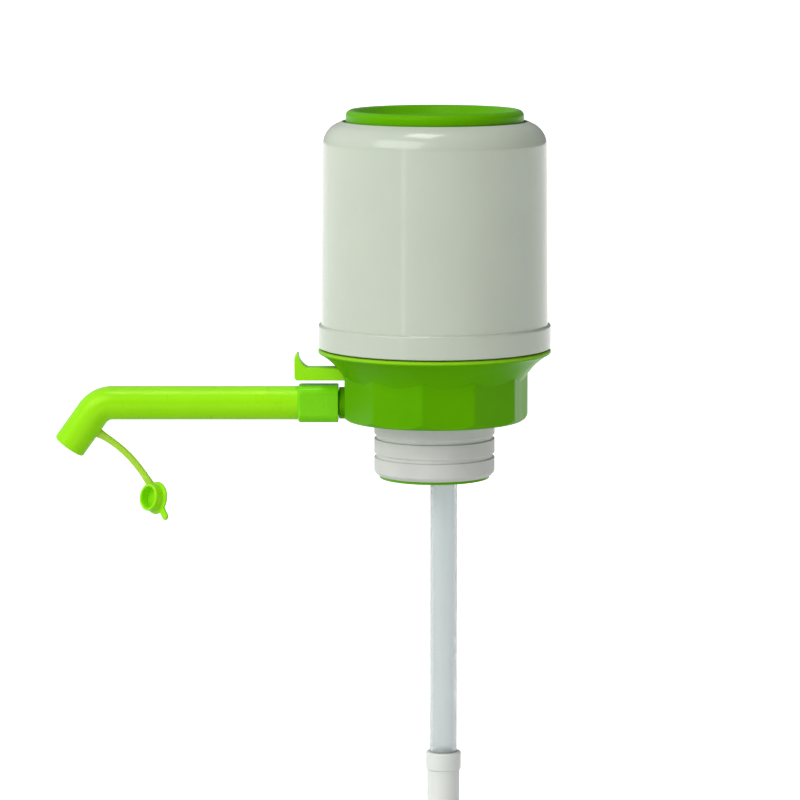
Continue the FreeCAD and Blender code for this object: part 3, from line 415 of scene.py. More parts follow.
def turned(name, outline, sides=128, centre=(0, 0)):
    # A circle at the outline's first (radius, height) point, extruded through the others.
    # An outline that starts or ends on the axis is closed there, any other runs round.
    hub = outline[0][0] == 0
    around = outline[1:] if hub else outline + outline[:1]
    radius, height = around[0]
    bpy.ops.object.select_all(action="DESELECT")
    bpy.ops.mesh.primitive_circle_add(vertices=sides, radius=radius * mm,
                                      fill_type="TRIFAN" if hub else "NOTHING",
                                      location=(centre[0] * mm, centre[1] * mm, height * mm))
    piece = bpy.context.object
    piece.name = name
    piece.data.name = name
    bpy.ops.object.transform_apply()
    bpy.ops.object.mode_set(mode="EDIT")
    chooseEdges(piece, onLoop(radius, height, centre))
    for nextRadius, nextHeight in around[1:]:
        bpy.ops.mesh.extrude_edges_move(
            TRANSFORM_OT_translate={"value": (0, 0, (nextHeight - height) * mm)})
        grow = nextRadius / radius
        bpy.ops.transform.resize(value=(grow, grow, 1), center_override=(
            centre[0] * mm, centre[1] * mm, nextHeight * mm))
        if nextRadius == 0:
            bpy.ops.mesh.merge(type="COLLAPSE")
            break
        radius, height = nextRadius, nextHeight
    bpy.ops.mesh.select_all(action="SELECT")
    bpy.ops.mesh.remove_doubles(threshold=weld)
    bpy.ops.object.mode_set(mode="OBJECT")
    return piece


def softEdges(piece, width, steps=3, angle=30):
    pickOnly(piece)
    bevel = piece.modifiers.new("softEdges", "BEVEL")
    bevel.width = width * mm
    bevel.segments = steps
    bevel.limit_method = "ANGLE"
    bevel.angle_limit = math.radians(angle)
    bpy.ops.object.modifier_apply(modifier=bevel.name)


def combined(piece, tool, operation):
    # Joins a second shape to a piece or cuts it away, and removes it
    pickOnly(piece)
    change = piece.modifiers.new("change", "BOOLEAN")
    change.operation = operation
    change.object = tool
    change.solver = "EXACT"
    bpy.ops.object.modifier_apply(modifier=change.name)
    bpy.data.objects.remove(tool)


def rod(name, radius, start, end, sides=48, soft=0):
    # A round bar between two points, with softened ends if soft is given
    first, last = Vector(start) * mm, Vector(end) * mm
    along = last - first
    bpy.ops.object.select_all(action="DESELECT")
    bpy.ops.mesh.primitive_cylinder_add(vertices=sides, radius=radius * mm, depth=along.length,
                                        location=(first + last) / 2,
                                        rotation=along.to_track_quat("Z", "Y").to_euler())
    piece = bpy.context.object
    piece.name = name
    bpy.ops.object.transform_apply()
    if soft:
        softEdges(piece, soft)
    return piece


def slab(name, low, high, soft=0):
    # A block between two corners
    first, last = Vector(low) * mm, Vector(high) * mm
    bpy.ops.object.select_all(action="DESELECT")
    bpy.ops.mesh.primitive_cube_add(size=1, location=(first + last) / 2)
    piece = bpy.context.object
    piece.name = name
    piece.scale = last - first
    bpy.ops.object.transform_apply()
    if soft:
        softEdges(piece, soft)
    return piece


def finishPiece(piece, body, look, replaced=(), angle=28):
    pickOnly(piece)
    bpy.ops.object.mode_set(mode="EDIT")
    bpy.ops.mesh.select_mode(type="FACE")
    bpy.ops.mesh.select_all(action="SELECT")
    bpy.ops.mesh.remove_doubles(threshold=weld)
    bpy.ops.mesh.normals_make_consistent(inside=False)
    if bmesh.from_edit_mesh(piece.data).calc_volume(signed=True) < 0:
        bpy.ops.mesh.flip_normals()     # the operator takes the hollow button for inside out
    bpy.ops.object.mode_set(mode="OBJECT")
    bpy.ops.object.shade_smooth_by_angle(angle=math.radians(angle))
    even = piece.modifiers.new("evenShading", "WEIGHTED_NORMAL")
    even.keep_sharp = True
    bpy.ops.object.modifier_apply(modifier=even.name)
    piece.data.materials.clear()
    piece.data.materials.append(finishes[look])
    if body:
        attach(piece, body)
    if replaced:
        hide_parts(*replaced)


cover = {
    "socket": 41.2, "low": 27.1, "band": 43.3, "bandTop": 35.8, "foot": 42.2,
    "shoulder": 41.53, "shoulderHeight": 107.74, "mouth": 34.2, "top": 111.3,
    "guideLow": 100.8, "guideWall": 1.8, "wall": 2.0, "shoulderRound": 5.1,
    "guideDrop": 0.6, "roofInside": 104.4, "socketTop": 34.5,
}


def makeCover():
    c = cover
    guide = c["mouth"] + c["guideWall"]
    piece = turned("coverShell", [
        (c["socket"], c["low"]), (c["band"], c["low"]), (c["band"], c["bandTop"]),
        (c["foot"], c["bandTop"]), (c["shoulder"], c["shoulderHeight"]),
        (c["mouth"], c["top"]), (c["mouth"], c["guideLow"]), (guide, c["guideLow"]),
        (guide, c["shoulderHeight"] - c["guideDrop"]),
        (c["shoulder"] - c["wall"], c["roofInside"]),
        (c["foot"] - c["wall"], c["bandTop"]), (c["socket"], c["socketTop"])], sides=160)
    roundLoops(piece, [
        (c["shoulder"], c["shoulderHeight"], c["shoulderRound"], 14),
        (c["band"], c["low"], 0.5, 4), (c["band"], c["bandTop"], 0.75, 5),
        (c["foot"], c["bandTop"], 0.30, 3), (c["mouth"], c["top"], 0.55, 4),
        (c["mouth"], c["guideLow"], 0.4, 3), (c["socket"], c["low"], 0.3, 2)])
    finishPiece(piece, "housing", "white_plastic", ["cover"])


makeCover()
print("cover ready")


button = {
    "radius": 33.0, "wall": 2.0, "low": 98.0, "rimTop": 115.3, "rimRound": 2.1,
    "rimInside": 30.4, "dish": 26.8, "dishEdge": 111.7, "dishDepth": 0.8, "dishRings": 6,
    "under": 109.3,
    "stop": 37.0, "stopThick": 2.5, "pressRing": 25.0, "bellowsTop": 99.0,
    "bosses": 3, "bossCircle": 10.0, "boss": 3.2, "bossHole": 1.25, "holeTop": 106.0,
}


def makeButton():
    b = button
    inner = b["radius"] - b["wall"]
    outline = [(0, b["under"]), (b["pressRing"] - b["wall"], b["under"]),
               (b["pressRing"] - b["wall"], b["bellowsTop"]), (b["pressRing"], b["bellowsTop"]),
               (b["pressRing"], b["under"]), (inner, b["under"]), (inner, b["low"]),
               (b["stop"], b["low"]), (b["stop"], b["low"] + b["stopThick"]),
               (b["radius"], b["low"] + b["stopThick"]), (b["radius"], b["rimTop"]),
               (b["rimInside"], b["rimTop"]), (b["dish"], b["dishEdge"])]
    for ring in range(1, b["dishRings"]):
        share = 1 - ring / b["dishRings"]
        outline.append((b["dish"] * share, b["dishEdge"] - b["dishDepth"] * (1 - share ** 2)))
    outline.append((0, b["dishEdge"] - b["dishDepth"]))
    piece = turned("pressButton", outline)
    roundLoops(piece, [
        (b["radius"], b["rimTop"], b["rimRound"], 8), (b["rimInside"], b["rimTop"], 0.9, 5),
        (b["dish"], b["dishEdge"], 1.2, 5), (b["stop"], b["low"], 0.4, 2),
        (b["stop"], b["low"] + b["stopThick"], 0.4, 2),
        (b["radius"], b["low"] + b["stopThick"], 0.4, 2)])
    # Three bosses under the dish take the spring seat's screws
    for index in range(b["bosses"]):
        angle = math.radians(90 + 360 * index / b["bosses"])
        x, y = b["bossCircle"] * math.cos(angle), b["bossCircle"] * math.sin(angle)
        combined(piece, rod("boss", b["boss"], (x, y, b["bellowsTop"]),
                            (x, y, b["under"] + bury), sides=32), "UNION")
        combined(piece, rod("bossHole", b["bossHole"], (x, y, b["bellowsTop"] - past),
                            (x, y, b["holeTop"]), sides=24), "DIFFERENCE")
    finishPiece(piece, "button", "green_plastic", ["press_button"])


makeButton()
print("button ready")


base = {
    "sides": 11, "corner": 34.9, "turn": 34.8, "gripTop": 18.5, "gripBore": 32.0,
    "gripRound": 2.6, "cornerRound": 0.8,
    "wallInner": 31.8, "wallOuter": 32.9, "flareFoot": 33.4, "flareStart": 15.2,
    "flareEnd": 42.55, "flareTop": 24.75, "flareRound": 26.0, "lip": 43.35, "lipLow": 25.1,
    "lipTop": 26.6, "lipRound": 0.95, "spigot": 40.9, "spigotTop": 33.5,
    "bead": 0.3, "beadHeight": 30.6, "floorLow": 11.5, "floorHigh": 13.5,
    "plateBore": 38.4, "plateSeat": 24.0, "chamber": 36.0, "chamberShoulder": 22.0,
    "chamberWaist": 15.5, "seatInner": 25.5, "seatOuter": 28.2,
    "neckInner": 17.7, "neckOuter": 19.7, "neckLip": 20.6, "neckLow": -22.0, "lipThick": 1.0,
    "dipOffset": 3.5, "boss": 8.2, "bossLow": -9.0, "dipSocket": 5.15, "dipTop": 1.5,
    "sealSocket": 6.9, "sealHigh": -6.5, "well": 3.6, "wellTop": 8.6,
    "spoutAxis": 6.0, "channel": 4.8, "channelBore": 2.4, "collar": 5.95,
    "collarStart": 33.0, "collarEnd": 35.6, "nipple": 4.68, "nippleEnd": 48.0,
    "sealSeat": 3.25, "sealLow": 41.0, "sealHighX": 42.9,
    "valve": 13.4, "ductBore": 3.2, "ductCollar": 8.6, "ductSocket": 6.8, "collarTop": 16.6,
    "relief": 16.0, "reliefBore": 2.0, "reliefRim": 3.3, "reliefTop": 14.3,
    "pivot": 29.0, "pivotHeight": 17.0, "pin": 1.2, "pinHalf": 7.2,
    "lugInner": 5.0, "lugHalf": 2.6, "lugHigh": 19.4,
    "slotLow": 14.1, "slotHigh": 19.9, "slotHalf": 4.4, "slotEnd": 28.8,
    "pillarCircle": 34.2, "pillar": 2.6, "pillarLow": 14.5, "pillars": 6, "pillarBury": 0.8,
    "screw": 1.25, "screwLow": 19.6, "soft": 0.3,
}


def arcThrough(start, end, radius, steps):
    # Points of a hollow arc between two (radius, height) points, its centre on the outside
    chord = Vector(end) - Vector(start)
    across = Vector((chord.y, -chord.x)).normalized()
    reach = math.sqrt(radius ** 2 - (chord.length / 2) ** 2)
    centre = (Vector(start) + Vector(end)) / 2 + across * reach
    first = math.atan2(start[1] - centre.y, start[0] - centre.x)
    last = math.atan2(end[1] - centre.y, end[0] - centre.x)
    turn = (last - first + math.pi) % (2 * math.pi) - math.pi
    return [(centre.x + radius * math.cos(first + turn * step / steps),
             centre.y + radius * math.sin(first + turn * step / steps))
            for step in range(steps + 1)]


def makeGrip():
    # The eleven-sided grip: its corners and its lower edge are rounded
    b = base
    bpy.ops.object.select_all(action="DESELECT")
    bpy.ops.mesh.primitive_cylinder_add(vertices=b["sides"], radius=b["corner"] * mm,
                                        depth=b["gripTop"] * mm,
                                        location=(0, 0, b["gripTop"] / 2 * mm),
                                        rotation=(0, 0, math.radians(-90)))
    grip = bpy.context.object       # its first corner, at +Y, is now at +X
    grip.name = "grip"
    bpy.ops.object.transform_apply()
    roundEdges(grip, [(lambda first, last: abs(first.z - last.z) > mm, b["cornerRound"], 6)])
    top = b["gripTop"] + past
    quarter = [math.radians(15 * step) for step in range(7)]
    lower = [(b["turn"] - b["gripRound"] * (1 - math.sin(angle)),
              b["gripRound"] * (1 - math.cos(angle))) for angle in quarter]
    envelope = turned("gripEnvelope", [(b["gripBore"], 0)] + lower
                      + [(b["turn"], top), (b["gripBore"], top)], sides=176)
    combined(grip, envelope, "INTERSECT")
    return grip


def pillarPlaces():
    b = base
    turns = [math.radians(30 + 360 * index / b["pillars"]) for index in range(b["pillars"])]
    return [(b["pillarCircle"] * math.cos(turn), b["pillarCircle"] * math.sin(turn))
            for turn in turns]


def makePillars():
    # The screw pillars inside, cut off where they would come through the wall
    b = base
    rods = [rod("pillar", b["pillar"], (x, y, b["pillarLow"]), (x, y, b["plateSeat"]), sides=32)
            for x, y in pillarPlaces()]
    bpy.ops.object.select_all(action="DESELECT")
    for piece in rods:
        piece.select_set(True)
    bpy.ops.object.join()
    pillars = bpy.context.object
    low, deep = b["wallInner"] + b["pillarBury"], b["chamber"] + b["pillarBury"]
    foot = b["floorHigh"] - bury
    trim = turned("pillarTrim", [
        (0, foot), (low, foot), (low, b["chamberWaist"]),
        (deep, b["chamberShoulder"]), (deep, b["plateSeat"]), (0, b["plateSeat"])], sides=96)
    combined(pillars, trim, "INTERSECT")
    return pillars


def makeBase():
    b = base
    bead = b["bead"]
    flare = arcThrough((b["flareFoot"], b["flareStart"]), (b["flareEnd"], b["flareTop"]),
                       b["flareRound"], 22)
    piece = turned("baseBody", [
        (0, b["floorLow"]), (b["neckInner"], b["floorLow"]), (b["neckInner"], b["neckLow"]),
        (b["neckLip"], b["neckLow"]), (b["neckLip"], b["neckLow"] + b["lipThick"]),
        (b["neckOuter"], b["neckLow"] + b["lipThick"]), (b["neckOuter"], b["floorLow"]),
        (b["seatInner"], b["floorLow"]), (b["seatInner"], 0), (b["seatOuter"], 0),
        (b["seatOuter"], b["floorLow"]), (b["wallInner"], b["floorLow"]),
        (b["wallInner"], 0), (b["wallOuter"], 0), (b["wallOuter"], b["flareStart"])] + flare + [
        (b["lip"], b["lipLow"]), (b["lip"], b["lipTop"]), (b["spigot"], b["lipTop"]),
        (b["spigot"], b["beadHeight"] - bead), (b["spigot"] + bead, b["beadHeight"]),
        (b["spigot"], b["beadHeight"] + bead),
        (b["spigot"], b["spigotTop"]), (b["plateBore"], b["spigotTop"]),
        (b["plateBore"], b["plateSeat"]), (b["chamber"], b["plateSeat"]),
        (b["chamber"], b["chamberShoulder"]), (b["wallInner"], b["chamberWaist"]),
        (b["wallInner"], b["floorHigh"]), (0, b["floorHigh"])], sides=176)
    roundLoops(piece, [
        (b["lip"], b["lipTop"], b["lipRound"], 6), (b["lip"], b["lipLow"], 0.35, 3),
        (b["neckLip"], b["neckLow"], 0.35, 3), (b["neckInner"], b["neckLow"], b["soft"], 2),
        (b["seatInner"], 0, b["soft"], 2), (b["seatOuter"], 0, b["soft"], 2),
        (b["spigot"], b["spigotTop"], b["soft"], 2),
        (b["plateBore"], b["spigotTop"], b["soft"], 2)])
    combined(piece, makeGrip(), "UNION")
    combined(piece, makePillars(), "UNION")
    axis, dip, foot = b["spoutAxis"], b["dipOffset"], b["floorHigh"] - bury
    parts = [
        rod("boss", b["boss"], (dip, 0, b["bossLow"]), (dip, 0, b["floorLow"] + bury),
            soft=b["soft"]),
        rod("channel", b["channel"], (dip, 0, axis), (-b["collarStart"] - bury, 0, axis)),
        rod("collar", b["collar"], (-b["collarStart"], 0, axis), (-b["collarEnd"], 0, axis),
            soft=b["soft"]),
        rod("nipple", b["nipple"], (-b["collarStart"] - bury, 0, axis),
            (-b["nippleEnd"], 0, axis), soft=b["soft"]),
        rod("ductCollar", b["ductCollar"], (0, b["valve"], foot),
            (0, b["valve"], b["collarTop"]), soft=b["soft"]),
        rod("reliefRim", b["reliefRim"], (-b["relief"], 0, foot),
            (-b["relief"], 0, b["reliefTop"]), soft=0.2),
    ]
    for side in (-1, 1):
        low = min(side * b["lugInner"], side * b["pinHalf"])
        high = max(side * b["lugInner"], side * b["pinHalf"])
        parts.append(slab("lug", (-b["pivot"] - b["lugHalf"], low, foot),
                          (-b["pivot"] + b["lugHalf"], high, b["lugHigh"]), soft=b["soft"]))
    for part in parts:
        combined(piece, part, "UNION")
    cuts = [
        rod("dipSocket", b["dipSocket"], (dip, 0, b["bossLow"] - past), (dip, 0, b["dipTop"])),
        rod("sealSocket", b["sealSocket"], (dip, 0, b["bossLow"] - past),
            (dip, 0, b["sealHigh"])),
        rod("well", b["well"], (dip, 0, b["dipTop"] - past), (dip, 0, b["wellTop"])),
        rod("waterWay", b["channelBore"], (dip, 0, axis), (-b["nippleEnd"] - past, 0, axis)),
        rod("ductSocket", b["ductSocket"], (0, b["valve"], b["floorHigh"]),
            (0, b["valve"], b["collarTop"] + past)),
        rod("ductHole", b["ductBore"], (0, b["valve"], b["floorLow"] - past),
            (0, b["valve"], b["floorHigh"] + past)),
        rod("reliefHole", b["reliefBore"], (-b["relief"], 0, b["floorLow"] - past),
            (-b["relief"], 0, b["reliefTop"] + past)),
        slab("leverSlot", (-b["lip"], -b["slotHalf"], b["slotLow"]),
             (-b["slotEnd"], b["slotHalf"], b["slotHigh"])),
        rod("pinHole", b["pin"], (-b["pivot"], -b["pinHalf"] - past, b["pivotHeight"]),
            (-b["pivot"], b["pinHalf"] + past, b["pivotHeight"])),
    ] + [rod("screwHole", b["screw"], (x, y, b["screwLow"]), (x, y, b["plateSeat"] + past),
             sides=24) for x, y in pillarPlaces()]
    # The spout seal's groove, turned upright and then laid along the nipple
    wide, outside = b["sealHighX"] - b["sealLow"], b["nipple"] + past
    groove = turned("sealGroove", [(b["sealSeat"], 0), (outside, 0), (outside, wide),
                                   (b["sealSeat"], wide)], sides=48)
    groove.rotation_euler = (0, math.radians(-90), 0)
    groove.location = (-b["sealLow"] * mm, 0, axis * mm)
    pickOnly(groove)
    bpy.ops.object.transform_apply()
    for cut in cuts + [groove]:
        combined(piece, cut, "DIFFERENCE")
    finishPiece(piece, "housing", "base_plastic", ["base"], angle=9)


makeBase()
print("base ready")


spout = {
    "axis": 6.0, "radius": 6.3, "bore": 5.2, "boreStart": 49.0, "tubeStart": 47.5,
    "corner": 124.8, "bendRadius": 9.0, "bendAngle": 54.5, "tipRun": 20.3, "overrun": 2.0,
    "rimOuter": 0.75, "rimInner": 0.25, "steps": 18, "sides": 64,
    "sleeveStart": 35.8, "sleeveEnd": 50.9, "sleeveHalf": 6.9, "sleeveCorner": 3.5,
    "shoulder": 1.2, "sleeveLip": 0.35, "sleeveBore": 4.74, "boreLap": 0.3,
}
spoutCorner = Vector((-spout["corner"], 0, spout["axis"])) * mm
spoutDown = Vector((-math.cos(math.radians(spout["bendAngle"])), 0,
                    -math.sin(math.radians(spout["bendAngle"]))))
spoutTip = spoutCorner + spoutDown * spout["tipRun"] * mm


def bentBar(name, radius, start, run):
    # A solid bar along the spout's centreline, from x = -start to run past the corner
    s = spout
    angle = math.radians(s["bendAngle"])
    tangent = s["bendRadius"] * math.tan(angle / 2)
    straight = s["corner"] - tangent
    bpy.ops.object.select_all(action="DESELECT")
    bpy.ops.mesh.primitive_circle_add(vertices=s["sides"], radius=radius * mm, fill_type="NGON",
                                      location=(-start * mm, 0, s["axis"] * mm),
                                      rotation=(0, math.radians(90), 0))
    bar = bpy.context.object
    bar.name = name
    bpy.ops.object.transform_apply()
    bpy.ops.object.mode_set(mode="EDIT")
    bpy.ops.mesh.select_mode(type="EDGE")
    bpy.ops.mesh.select_all(action="SELECT")
    bpy.ops.mesh.extrude_edges_move(
        TRANSFORM_OT_translate={"value": (-(straight - start) * mm, 0, 0)})
    bpy.ops.mesh.spin(steps=s["steps"], angle=angle, axis=(0, 1, 0),
                      center=(-straight * mm, 0, (s["axis"] - s["bendRadius"]) * mm))
    bpy.ops.mesh.extrude_edges_move(
        TRANSFORM_OT_translate={"value": spoutDown * (run - tangent) * mm})
    bpy.ops.mesh.edge_face_add()
    bpy.ops.mesh.select_all(action="SELECT")
    bpy.ops.mesh.remove_doubles(threshold=weld)
    bpy.ops.mesh.normals_make_consistent(inside=False)
    bpy.ops.object.mode_set(mode="OBJECT")
    return bar


def onTip(radius):
    # Tests that both ends lie on the circle of that radius round the spout's tip
    def there(point):
        away = point - spoutTip
        along = away.dot(spoutDown)
        reach = (away - spoutDown * along).length
        return abs(along) < near and abs(reach - radius * mm) < near
    return lambda first, last: there(first) and there(last)


def acrossAt(place):
    # Tests that both ends lie in the plane at x = -place
    return lambda first, last: max(abs(first.x + place * mm), abs(last.x + place * mm)) < near


def makeSleeve():
    s = spout
    half = s["sleeveHalf"]
    sleeve = slab("sleeve", (-s["sleeveEnd"], -half, s["axis"] - half),
                  (-s["sleeveStart"], half, s["axis"] + half))
    roundEdges(sleeve, [
        (lambda first, last: abs(first.x - last.x) > mm, s["sleeveCorner"], 10),
        (acrossAt(s["sleeveEnd"]), s["shoulder"], 5),
        (acrossAt(s["sleeveStart"]), s["sleeveLip"], 3)])
    return sleeve


def makeSpout():
    s = spout
    piece = bentBar("spoutTube", s["radius"], s["tubeStart"], s["tipRun"])
    roundEdges(piece, [(onTip(s["radius"]), s["rimOuter"], 5)])
    combined(piece, makeSleeve(), "UNION")
    combined(piece, bentBar("spoutBore", s["bore"], s["boreStart"],
                            s["tipRun"] + s["overrun"]), "DIFFERENCE")
    combined(piece, rod("sleeveBore", s["sleeveBore"], (past - s["sleeveStart"], 0, s["axis"]),
                        (-s["boreStart"] - s["boreLap"], 0, s["axis"]), sides=s["sides"]),
             "DIFFERENCE")
    roundEdges(piece, [(onTip(s["bore"]), s["rimInner"], 3)])
    finishPiece(piece, "spout", "spout_plastic", ["spout"], angle=32)


makeSpout()
print("spout ready")


plug = {
    "centre": Vector((-103.4, -3.0, -29.5)), "mouth": Vector((-0.745, -0.642, 0.18)),
    "tab": Vector((0.391, -0.638, -0.662)), "flange": 6.1, "flangeThick": 1.2,
    "cup": 5.1, "cupBore": 4.0, "depth": 4.8, "tabLength": 10.5, "tabHalf": 1.3,
    "tabRoot": 0.6, "tabRound": 0.98,       # the tab's end is almost a half circle
}


def makePlug():
    p = plug
    thick = p["flangeThick"]
    piece = turned("dustPlug", [
        (0, 0), (p["flange"], 0), (p["flange"], thick), (p["cup"], thick),
        (p["cup"], p["depth"]), (p["cupBore"], p["depth"]), (p["cupBore"], thick),
        (0, thick)], sides=64)
    roundLoops(piece, [
        (p["flange"], 0, 0.55, 5), (p["flange"], thick, 0.5, 5), (p["cup"], thick, 0.45, 5),
        (p["cup"], p["depth"], 0.5, 5), (p["cupBore"], p["depth"], 0.45, 5),
        (p["cupBore"], thick, 0.5, 3)])
    tab = slab("plugTab", (p["cup"] - p["tabRoot"], -p["tabHalf"], 0),
               (p["tabLength"], p["tabHalf"], thick))
    end = p["tabLength"] * mm - near
    roundEdges(tab, [(lambda first, last: min(first.x, last.x) > end
                      and abs(first.z - last.z) > mm / 2, p["tabHalf"] * p["tabRound"], 8)])
    softEdges(tab, 0.3)
    combined(piece, tab, "UNION")
    facing = p["mouth"].normalized()
    across = (p["tab"] - facing * p["tab"].dot(facing)).normalized()
    turn = Matrix((across, facing.cross(across), facing)).transposed()
    piece.matrix_world = Matrix.Translation(p["centre"] * mm) @ turn.to_4x4()
    pickOnly(piece)
    bpy.ops.object.transform_apply()
    finishPiece(piece, "plug", "lever_plastic", ["dust_plug"])


strap = {
    # the strip's middle, from inside the spout's wall to the plug's flange
    "route": [(-125.7, 0, -5.2), (-124.4, 0, -5.9), (-119.9, 0, -8.9), (-114.9, 0, -13.1),
              (-110.4, 0, -18.4), (-107.2, 0, -23.2), (-105.3, -0.6, -26.2)],
    "widen": [1.55, 1.12, 1.0, 1.0, 1.0, 1.05, 1.3],
    "thick": 1.7, "width": 2.6,
    "flexStart": (-118.5, 0, -10.0), "flexEnd": (-111.6, 0, -16.8),
}


def makeStrap():
    s = strap
    line = bpy.data.curves.new("plugStrap", "CURVE")
    line.dimensions = "3D"
    line.resolution_u = 14
    spline = line.splines.new("NURBS")
    spline.points.add(len(s["route"]) - 1)
    for point, place, widen in zip(spline.points, s["route"], s["widen"]):
        point.co = (*(Vector(place) * mm), 1)
        point.radius = widen
    spline.order_u = 3
    spline.use_endpoint_u = True
    # The strip's flat side faces up: a rounded section swept along the line
    line.bevel_mode = "ROUND"
    line.bevel_depth = s["thick"] / 2 * mm
    line.bevel_resolution = 5
    line.extrude = (s["width"] - s["thick"]) / 2 * mm
    line.use_fill_caps = True
    line.twist_mode = "Z_UP"
    piece = bpy.data.objects.new("plugStrap", line)
    bpy.context.collection.objects.link(piece)
    pickOnly(piece)
    bpy.ops.object.convert(target="MESH")
    piece = bpy.context.object
    finishPiece(piece, None, "strap_plastic", ["plug_strap_upper", "plug_strap_lower"],
                angle=40)
    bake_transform(piece)


makePlug()
makeStrap()
print("dust plug and strap ready")


lever = {
    "out": 52.2, "low": 14.8, "high": 19.5, "half": 4.0, "edge": 0.8, "finHigh": 24.8,
    "finTip": 1.0, "finSlope": 1.4, "finBack": 47.2, "thumbStart": 50.6, "thumbRound": 6.0,
    "armLow": 24.0, "armHigh": 27.0, "pivot": 29.0, "pivotHeight": 17.0, "hole": 1.25,
    "forkLow": 17.2, "forkHigh": 18.5, "forkEnd": 12.8, "forkStart": 21.0, "forkReach": 17.8,
    "forkHalf": 1.8, "soft": 0.45,
}


def drawn(name, outline, half):
    # An outline of (x, z) points drawn one by one, filled, and given its width along Y
    bpy.ops.object.select_all(action="DESELECT")
    bpy.ops.mesh.primitive_plane_add(size=mm, location=(outline[0][0] * mm, -half * mm,
                                                        outline[0][1] * mm))
    piece = bpy.context.object
    piece.name = name
    bpy.ops.object.transform_apply()
    bpy.ops.object.mode_set(mode="EDIT")
    bpy.ops.mesh.select_mode(type="VERT")
    bpy.ops.mesh.select_all(action="SELECT")
    bpy.ops.mesh.merge(type="CENTER")
    for before, after in zip(outline, outline[1:]):
        bpy.ops.mesh.extrude_vertices_move(TRANSFORM_OT_translate={"value": (
            (after[0] - before[0]) * mm, 0, (after[1] - before[1]) * mm)})
    bpy.ops.mesh.select_all(action="SELECT")
    bpy.ops.mesh.edge_face_add()
    bpy.ops.mesh.extrude_region_move(TRANSFORM_OT_translate={"value": (0, half * 2 * mm, 0)})
    bpy.ops.mesh.select_all(action="SELECT")
    bpy.ops.mesh.normals_make_consistent(inside=False)
    bpy.ops.object.mode_set(mode="OBJECT")
    return piece


def makeLever():
    v = lever
    thumb = arcThrough((-v["finBack"], v["high"]), (-v["thumbStart"], v["finHigh"]),
                       v["thumbRound"], 8)
    piece = drawn("releaseLever", [
        (v["edge"] - v["out"], v["low"]), (-v["armLow"], v["low"]),
        (-v["forkStart"], v["forkLow"]), (-v["forkEnd"], v["forkLow"]),
        (-v["forkEnd"], v["forkHigh"]), (-v["armLow"], v["forkHigh"]),
        (-v["armHigh"], v["high"])] + thumb + [
        (v["finTip"] - v["out"], v["finHigh"]), (-v["out"], v["finHigh"] - v["finSlope"]),
        (-v["out"], v["low"] + v["edge"])], v["half"])
    combined(piece, slab("forkGap", (-v["forkReach"], -v["forkHalf"], v["forkLow"] - past),
                         (past - v["forkEnd"], v["forkHalf"], v["forkHigh"] + past)),
             "DIFFERENCE")
    softEdges(piece, v["soft"], 4, 25)
    side = v["half"] + past
    combined(piece, rod("leverHole", v["hole"], (-v["pivot"], -side, v["pivotHeight"]),
                        (-v["pivot"], side, v["pivotHeight"])), "DIFFERENCE")
    finishPiece(piece, "lever", "lever_plastic", ["release_lever"],
                angle=35)


makeLever()
print("lever ready")


# The rubber sleeve that seals in the jug's neck
neckSleeve = {
    "inner": 19.72, "outer": 22.5, "low": -21.0, "chamfer": 1.5, "grooveDepth": 0.8,
    "grooveWidth": 1.5, "grooves": [-14.0, -7.0], "soft": 0.35,
}


def makeNeckSleeve():
    n = neckSleeve
    floor = n["outer"] - n["grooveDepth"]
    outline = [(n["inner"], n["low"]), (n["outer"] - n["chamfer"], n["low"]),
               (n["outer"], n["low"] + n["chamfer"])]
    corners = [(n["outer"], n["low"] + n["chamfer"], 0.5, 3),
               (n["outer"] - n["chamfer"], n["low"], 0.5, 3)]
    for start in n["grooves"]:
        end = start + n["grooveWidth"]
        outline += [(n["outer"], start), (floor, start), (floor, end), (n["outer"], end)]
        corners += [(n["outer"], start, n["soft"], 3), (n["outer"], end, n["soft"], 3),
                    (floor, start, 0.25, 2), (floor, end, 0.25, 2)]
    outline += [(n["outer"], 0), (n["inner"], 0)]
    piece = turned("neckSleeve", outline)
    roundLoops(piece, corners + [(n["outer"], 0, n["soft"], 3)])
    finishPiece(piece, "housing", "seal_rubber", ["neck_sleeve"])


makeNeckSleeve()
print("neck sleeve ready")


dipTube = {
    "offset": 3.5, "radius": 5.1, "bore": 3.9, "top": 1.5, "length": 142.0,
    "parts": ["upper", "middle", "lower"], "rim": 0.25,
}


def makeDipTube():
    d = dipTube
    centre = (d["offset"], 0)
    for index, part in enumerate(d["parts"]):
        top = d["top"] - d["length"] * index
        low = top - d["length"]
        tube = turned("dipTube" + part.title(), [(d["bore"], low), (d["radius"], low),
                                                 (d["radius"], top), (d["bore"], top)],
                      sides=64, centre=centre)
        roundLoops(tube, [(radius, height, d["rim"], 2) for radius in (d["bore"], d["radius"])
                          for height in (low, top)], centre)
        finishPiece(tube, "housing", "clear_tube", ["dip_tube_" + part])


# Each coupling is a sleeve over the joint of two tube sections, with a slim waist
coupling = {
    "parts": ["upper", "lower"], "inner": 5.12, "outer": 6.62, "half": 14.0, "edge": 0.7,
    "mouthEdge": 0.3, "waistDepth": 0.5, "waistHalf": 7.0, "waistSlope": 0.6,
}


